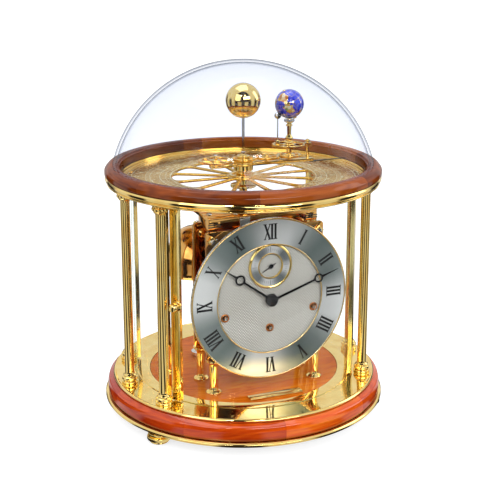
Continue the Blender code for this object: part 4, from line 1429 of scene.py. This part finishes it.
@dataclass
class Tellurium:
    """Sun, earth and moon with the geared arm that carries them."""

    tube_r: float = 3.4
    idler_x: float = 21.2
    left_x: float = -24.8
    tilt: float = 23.5

    def build(self) -> None:
        """Make the whole model of the sun, earth and moon."""
        earth = Seat.of("earth_globe").centre
        moon = Seat.of("moon").centre
        self.earth_x = Seat.of("earth_stem").centre.x
        self.pinion_x = Seat.of("moon_pinion").centre.x
        self.globe = Globe("lapis_globe", "lapis", tuple(earth), self.tilt, (
            (-0.40, -0.88, -0.12, 23), (-0.72, -0.45, 0.55, 17), (0.9, -0.1, 0.35, 26), (0.5, 0.8, 0.1, 24),
            (-0.85, 0.45, 0.2, 22), (0.1, 0.5, -0.8, 20), (0.55, -0.62, -0.56, 11)))
        self.moon = TwoTone("half_moon", "moon_silver", tuple(moon))
        self._sun()
        self._wheels()
        self._arm()
        self._earth(earth)
        self._moon(moon)

    def _sun(self) -> None:
        """The sun on its nickel rod, with the fixed tube and its nuts."""
        seat = Seat.of("sun")
        r = seat.radius
        Shape().ball(r, tuple(seat.centre), steps=96).piece("gilt_sun", "case", [GILT], ("sun",))
        rod = Seat.of("sun_rod")
        top = rod.high.z + 0.4
        shape = Shape().turn([(0, top), (1.2, top), (1.2, 224.6), (2.0, 224.2, 0.2), (2.0, 222), (0, 222)],
                             steps=32)
        shape.turn([(0, 222.4), (2.6, 222.4, 0.4), (self.tube_r, 221.4, 0.3), (self.tube_r, rod.low.z, 0.1),
                    (0, rod.low.z)],
                   finish=1, steps=48)
        shape.turn([(0, 221), (5.6, 221, 0.4), (5.6, 219.2, 0.3), (0, 219.2)], finish=1, steps=48)
        shape.piece("sun_spindle", "case", [NICKEL, BRASS], ("sun_rod",))

    def _wheel(self, name: str, body: str, node: str, teeth: int, arms: int, turned_by: float, collar: float,
               bore: float = 1.6) -> None:
        """One fine-toothed wheel with arms, standing for a CAD wheel.

        Args:
            name: The piece's name.
            body: The body it rides on.
            node: The CAD wheel.
            teeth: How many teeth.
            arms: How many arms.
            turned_by: How far it is turned, in tooth pitches.
            collar: Radius of the collar round its bore.
            bore: Radius of its bore.
        """
        seat = Seat.of(node)
        radius = seat.radius - 0.64
        low, high = seat.low.z, seat.high.z
        lie = shift(seat.centre.x, seat.centre.y)
        wheel = Shape().plate([gear_rim(teeth, radius, turned_by), circle(bore, steps=24)]
                              + crossing(collar + 1.2, radius - 2.2, arms, 1.5), low + 0.2, high - 0.2, lie,
                              bevel=0.0)
        wheel.turn([(bore, low), (collar, low, 0.2), (collar, high + 0.4, 0.4), (bore, high + 0.4, 0.2)], lie,
                   0, True, 40)
        wheel.turn([(radius - 2.0, low + 0.1), (radius - 1.2, low + 0.1), (radius - 1.2, high + 0.1, 0.3),
                    (radius - 2.0, high + 0.1, 0.3)], lie, 0, True, 96)
        wheel.piece(name, body, [BRASS], (node,))

    def _wheels(self) -> None:
        """Every wheel of the train."""
        self._wheel("fixed_centre_wheel", "case", "centre_wheel", 52, 5, 0.0, 4.6, self.tube_r + 0.1)
        self._wheel("fine_idler_wheel", "idler", "idler_wheel", 54, 5, 0.5, 2.8)
        self._wheel("fine_left_wheel", "left_wheel", "left_wheel", 72, 6, 0.5, 3.6, 2.0)
        self._wheel("fine_earth_wheel", "earth_carrier", "earth_wheel", 52, 5, 0.0, 4.2, 2.4)
        self._wheel("fine_moon_wheel", "moon_carrier", "moon_wheel", 72, 5, 0.0, 4.4, 2.5)
        seat = Seat.of("moon_pinion")
        lie = shift(seat.centre.x, seat.centre.y)
        Shape().plate([gear_rim(16, 3.2, 0.5), circle(1.4, steps=20)], seat.low.z, seat.high.z, lie).piece(
            "fine_moon_pinion", "moon_pinion", [BRASS], ("moon_pinion",))

    def _arm(self) -> None:
        """The turning arm: sleeve, a bar on each side, posts, nuts, screws and date hand."""
        seat = Seat.of("orrery_arm")
        low, high = 212.0, 214.5
        left, right = seat.low.x, seat.high.x
        arm = Shape().turn([(3.7, 194, 0.1), (11, 194, 0.4), (11, 196, 0.4), (6.0, 196.6, 0.3), (6.0, 207.5),
                            (8.4, 208.6, 0.4),
                            (8.5, 215.6, 0.5), (3.7, 215.6, 0.2)], closed=True, steps=72)
        arm.block((left, -3.6, low), (-5, 3.6, high), bevel=0.5)
        hole = circle(1.5, self.earth_x, 0, 24)
        bar = [(5, -3.6), (right, -3.6, 2.0), (right, 3.6, 2.0), (5, 3.6)]
        arm.plate([bar, hole], low, high, bevel=0.3)
        for x, r, top in ((self.idler_x, 1.2, 221.0), (self.left_x, 1.8, 223.0), (self.pinion_x, 1.2, 231.0)):
            arm.rod((x, 0, high - 1), (x, 0, top), r, bevel=0.3)
            arm.turn([(0, top - 0.9), (r + 1.4, top - 0.9, 0.3), (r + 1.4, top - 2.0), (0, top - 2.0)],
                     shift(x), steps=6)
        arm.screw(shift(self.left_x, 0, 222.6), 1.7, 20)
        for x in (12.5, 31.5):
            arm.screw(shift(x, 0, high), 1.5, x * 7)
        arm.piece("geared_arm", "arm", [BRASS, NICKEL, SHADOW], ("orrery_arm",))
        seat = Seat.of("date_pointer")
        z = seat.high.z
        hand = Shape().plate([[(62, -1.2), (76, -0.7), (97, -0.15), (97, 0.15), (76, 0.7), (62, 1.2)]],
                             z - 0.9, z)
        hand.turn([(0, z), (2.4, z, 0.2), (2.4, z - 1.1, 0.2), (0, z - 1.1)], shift(66), steps=32)
        hand.piece("date_hand", "arm", [BLACK], ("date_pointer",))

    def _earth(self, earth: Vector) -> None:
        """The globe on its tilted axis, and the turned stem and cup under it."""
        r = Seat.of("earth_globe").radius
        lean = Matrix.Translation(earth) @ Matrix.Rotation(radians(-self.tilt), 4, "Y")
        globe = Shape().ball(r, tuple(earth), steps=96)
        globe.piece("inlaid_globe", "earth", [self.globe], ("earth_globe",))
        seat = Seat.of("earth_stem")
        top = seat.high.z
        x = self.earth_x
        stem = Shape().turn([(0, top), (1.6, top), (2.0, top - 4, 0.4), (1.7, 236, 0.4), (3.3, 233.6, 0.6),
                             (3.3, 231.6, 0.5),
                             (2.2, 230.8, 0.3), (3.4, 229.6, 0.5), (3.4, 228.3, 0.2), (2.3, 228.3),
                             (2.3, 216), (1.2, 215),
                             (1.2, 212), (0, 212)], shift(x), steps=40)
        stem.turn([(0, top - 0.4), (4.5, top - 0.4, 0.3), (4.6, top - 2.0, 0.6), (3.0, top - 3.4, 0.5),
                   (0, top - 4)],
                  shift(x), 1, steps=40)
        stem.turn([(1.2, top - 5.0), (2.9, top - 5.0, 0.4), (2.9, top - 6.2, 0.4), (1.2, top - 6.2)],
                  shift(x), 0, True, 32)
        stem.piece("earth_stem_and_cup", "earth_carrier", [BRASS, NICKEL], ("earth_stem",))
        pole = Shape().turn([(0, r + 1.0), (0.9, r + 0.7, 0.3), (1.2, r - 0.6), (0, r - 0.6)], lean, steps=24)
        pole.turn([(0, 1 - r), (1.6, 0.6 - r), (1.6, -r - 1.2, 0.4), (0, -r - 1.6)], lean, steps=24)
        pole.piece("globe_poles", "earth", [BRASS])

    def _moon(self, moon: Vector) -> None:
        """The two-tone moon, its thin rod and the block it stands in."""
        r = Seat.of("moon").radius
        Shape().ball(r, tuple(moon), steps=48).piece("two_tone_moon", "moon_carrier", [self.moon], ("moon",))
        seat = Seat.of("moon_rod")
        x, y = seat.centre.x, seat.centre.y
        low, high = seat.low.z, seat.high.z
        rod = Shape().rod((x, y, low), (x, y, high + 0.6), 0.5, 0, bevel=0.1)
        rod.block((x - 1.4, y - 1.4, low), (x + 1.4, y + 1.4, low + 4.5), finish=1, bevel=0.3)
        rod.piece("moon_stand", "moon_carrier", [NICKEL, BRASS], ("moon_rod",))


# ---------------------------------------------------------------- stage

@dataclass
class Stage:
    """Pale floor, soft lights, surroundings and camera."""

    floor_half: float = 6.0
    camera_at: tuple[float, float, float] = (-0.331, -0.837, 0.408)
    camera_aim: tuple[float, float, float] = (0.0053, -0.0022, 0.182)
    lens: float = 78.0
    rise: float = -0.1
    bands: int = 8
    flag: tuple[float, float, float] = (-0.35, -0.83, 0.36)
    flag_edge: float = 0.72

    def build(self) -> None:
        """Set the stage."""
        self._floor()
        self._world()
        self._light("key_softbox", (-1.3, -0.85, 0.95), (1.0, 1.2), 9)
        self._light("front_strip", (0.1, -1.9, 1.1), (1.6, 0.6), 22)
        self._light("right_softbox", (1.5, -0.2, 0.8), (0.6, 1.1), 4)
        self._light("left_lamp", (-0.75, -1.1, 1.3), (0.14, 0.07), 1.2)
        self._light("front_lamp", (-0.15, -1.3, 1.4), (0.20, 0.06), 1.2)
        self._light("top_softbox", (0.0, 0.3, 1.9), (1.5, 1.5), 11)
        self._camera()

    def _floor(self) -> None:
        """A plain white floor."""
        part = bmesh.new()
        bmesh.ops.create_grid(part, x_segments=1, y_segments=1, size=self.floor_half)
        mesh = bpy.data.meshes.new("floor")
        part.to_mesh(mesh)
        part.free()
        floor = bpy.data.objects.new("floor", mesh)
        bpy.context.scene.collection.objects.link(floor)
        material = bpy.data.materials.new("pale_floor")
        material.use_nodes = True
        graph = Graph(material.node_tree)
        at = graph.place()
        paper = graph.noise(at, 0.02, 2)
        white = graph.principled(Base_Color=graph.mix(paper, (0.50, 0.50, 0.50), (0.52, 0.52, 0.52)),
                                 Roughness=0.9,
                                 Emission_Color=(1.0, 1.0, 1.0, 1.0), Emission_Strength=0.78)
        mirrored = graph.node("ShaderNodeEmission", {},
                              {"Color": self._banded(graph, at), "Strength": 0.8}).outputs[0]
        seen = Value(graph, graph.node("ShaderNodeLightPath").outputs["Is Camera Ray"])
        shader = graph.blend(seen, mirrored, white)
        graph.node("ShaderNodeOutputMaterial", {}, {"Surface": shader})
        mesh.materials.append(material)

    def _banded(self, graph: Graph, way: bpy.types.NodeSocket) -> bpy.types.NodeSocket:
        """Pale and dark upright bands round the studio, which the brass mirrors as stripes."""
        x, y, _ = graph.split(way)
        turn = graph.math("ARCTAN2", x, y * -1) * float(self.bands)
        share = graph.fit(graph.math("COSINE", turn), -0.40, 0.20)
        return graph.mix(share, (0.035, 0.030, 0.026), (0.92, 0.92, 0.92))

    def _world(self) -> None:
        """A white studio that mirrors show with banded walls and a dark flag in front of the clock."""
        world = bpy.data.worlds.new("studio")
        bpy.context.scene.world = world
        world.use_nodes = True
        graph = Graph(world.node_tree)
        way = graph.node("ShaderNodeTexCoord").outputs["Generated"]
        _, _, z = graph.split(way)
        overhead = graph.mix(graph.fit(z, 0.04, 0.24), self._banded(graph, way), (0.88, 0.88, 0.88))
        toward = Value(graph, graph.node("ShaderNodeVectorMath", {"operation": "DOT_PRODUCT"},
                                         {0: way, 1: Vector(self.flag).normalized()}).outputs["Value"])
        flagged = graph.mix(graph.fit(toward, self.flag_edge - 0.04, self.flag_edge), overhead,
                            (0.03, 0.025, 0.02))
        seen = Value(graph, graph.node("ShaderNodeLightPath").outputs["Is Camera Ray"])
        back = graph.node("ShaderNodeBackground", {}, {"Color": graph.mix(seen, flagged, (1.0, 1.0, 1.0)),
                                                       "Strength": 1.0}).outputs[0]
        graph.node("ShaderNodeOutputWorld", {}, {"Surface": back})

    def _light(self, name: str, at: tuple, size: tuple, power: float) -> None:
        """One soft area light aimed at the clock."""
        data = bpy.data.lights.new(name, "AREA")
        data.shape = "RECTANGLE"
        data.size, data.size_y = size
        data.energy = power
        lamp = bpy.data.objects.new(name, data)
        bpy.context.scene.collection.objects.link(lamp)
        lamp.location = at
        lamp.rotation_euler = (Vector((0, 0, 0.15)) - Vector(at)).to_track_quat("-Z", "Y").to_euler()

    def _camera(self) -> None:
        """The camera, a little above the clock and to its left."""
        data = bpy.data.cameras.new("camera")
        data.lens = self.lens
        data.shift_y = self.rise
        camera = bpy.data.objects.new("camera", data)
        bpy.context.scene.collection.objects.link(camera)
        camera.location = self.camera_at
        way = Vector(self.camera_aim) - Vector(self.camera_at)
        camera.rotation_euler = way.to_track_quat("-Z", "Y").to_euler()
        scene = bpy.context.scene
        scene.camera = camera
        scene.view_settings.view_transform = "Standard"
        scene.cycles.transparent_max_bounces = 24
        scene.cycles.caustics_reflective = False


def main() -> None:
    """Build every sub-assembly, then the stage."""
    logging.basicConfig(level=logging.INFO, format="%(message)s")
    Stage().build()
    for part in (Base(), Columns(), Top(), Glazing(), Dial(), Movement(), Tellurium()):
        LOG.info("building %s", type(part).__name__)
        part.build()


if __name__ == "__main__":
    main()
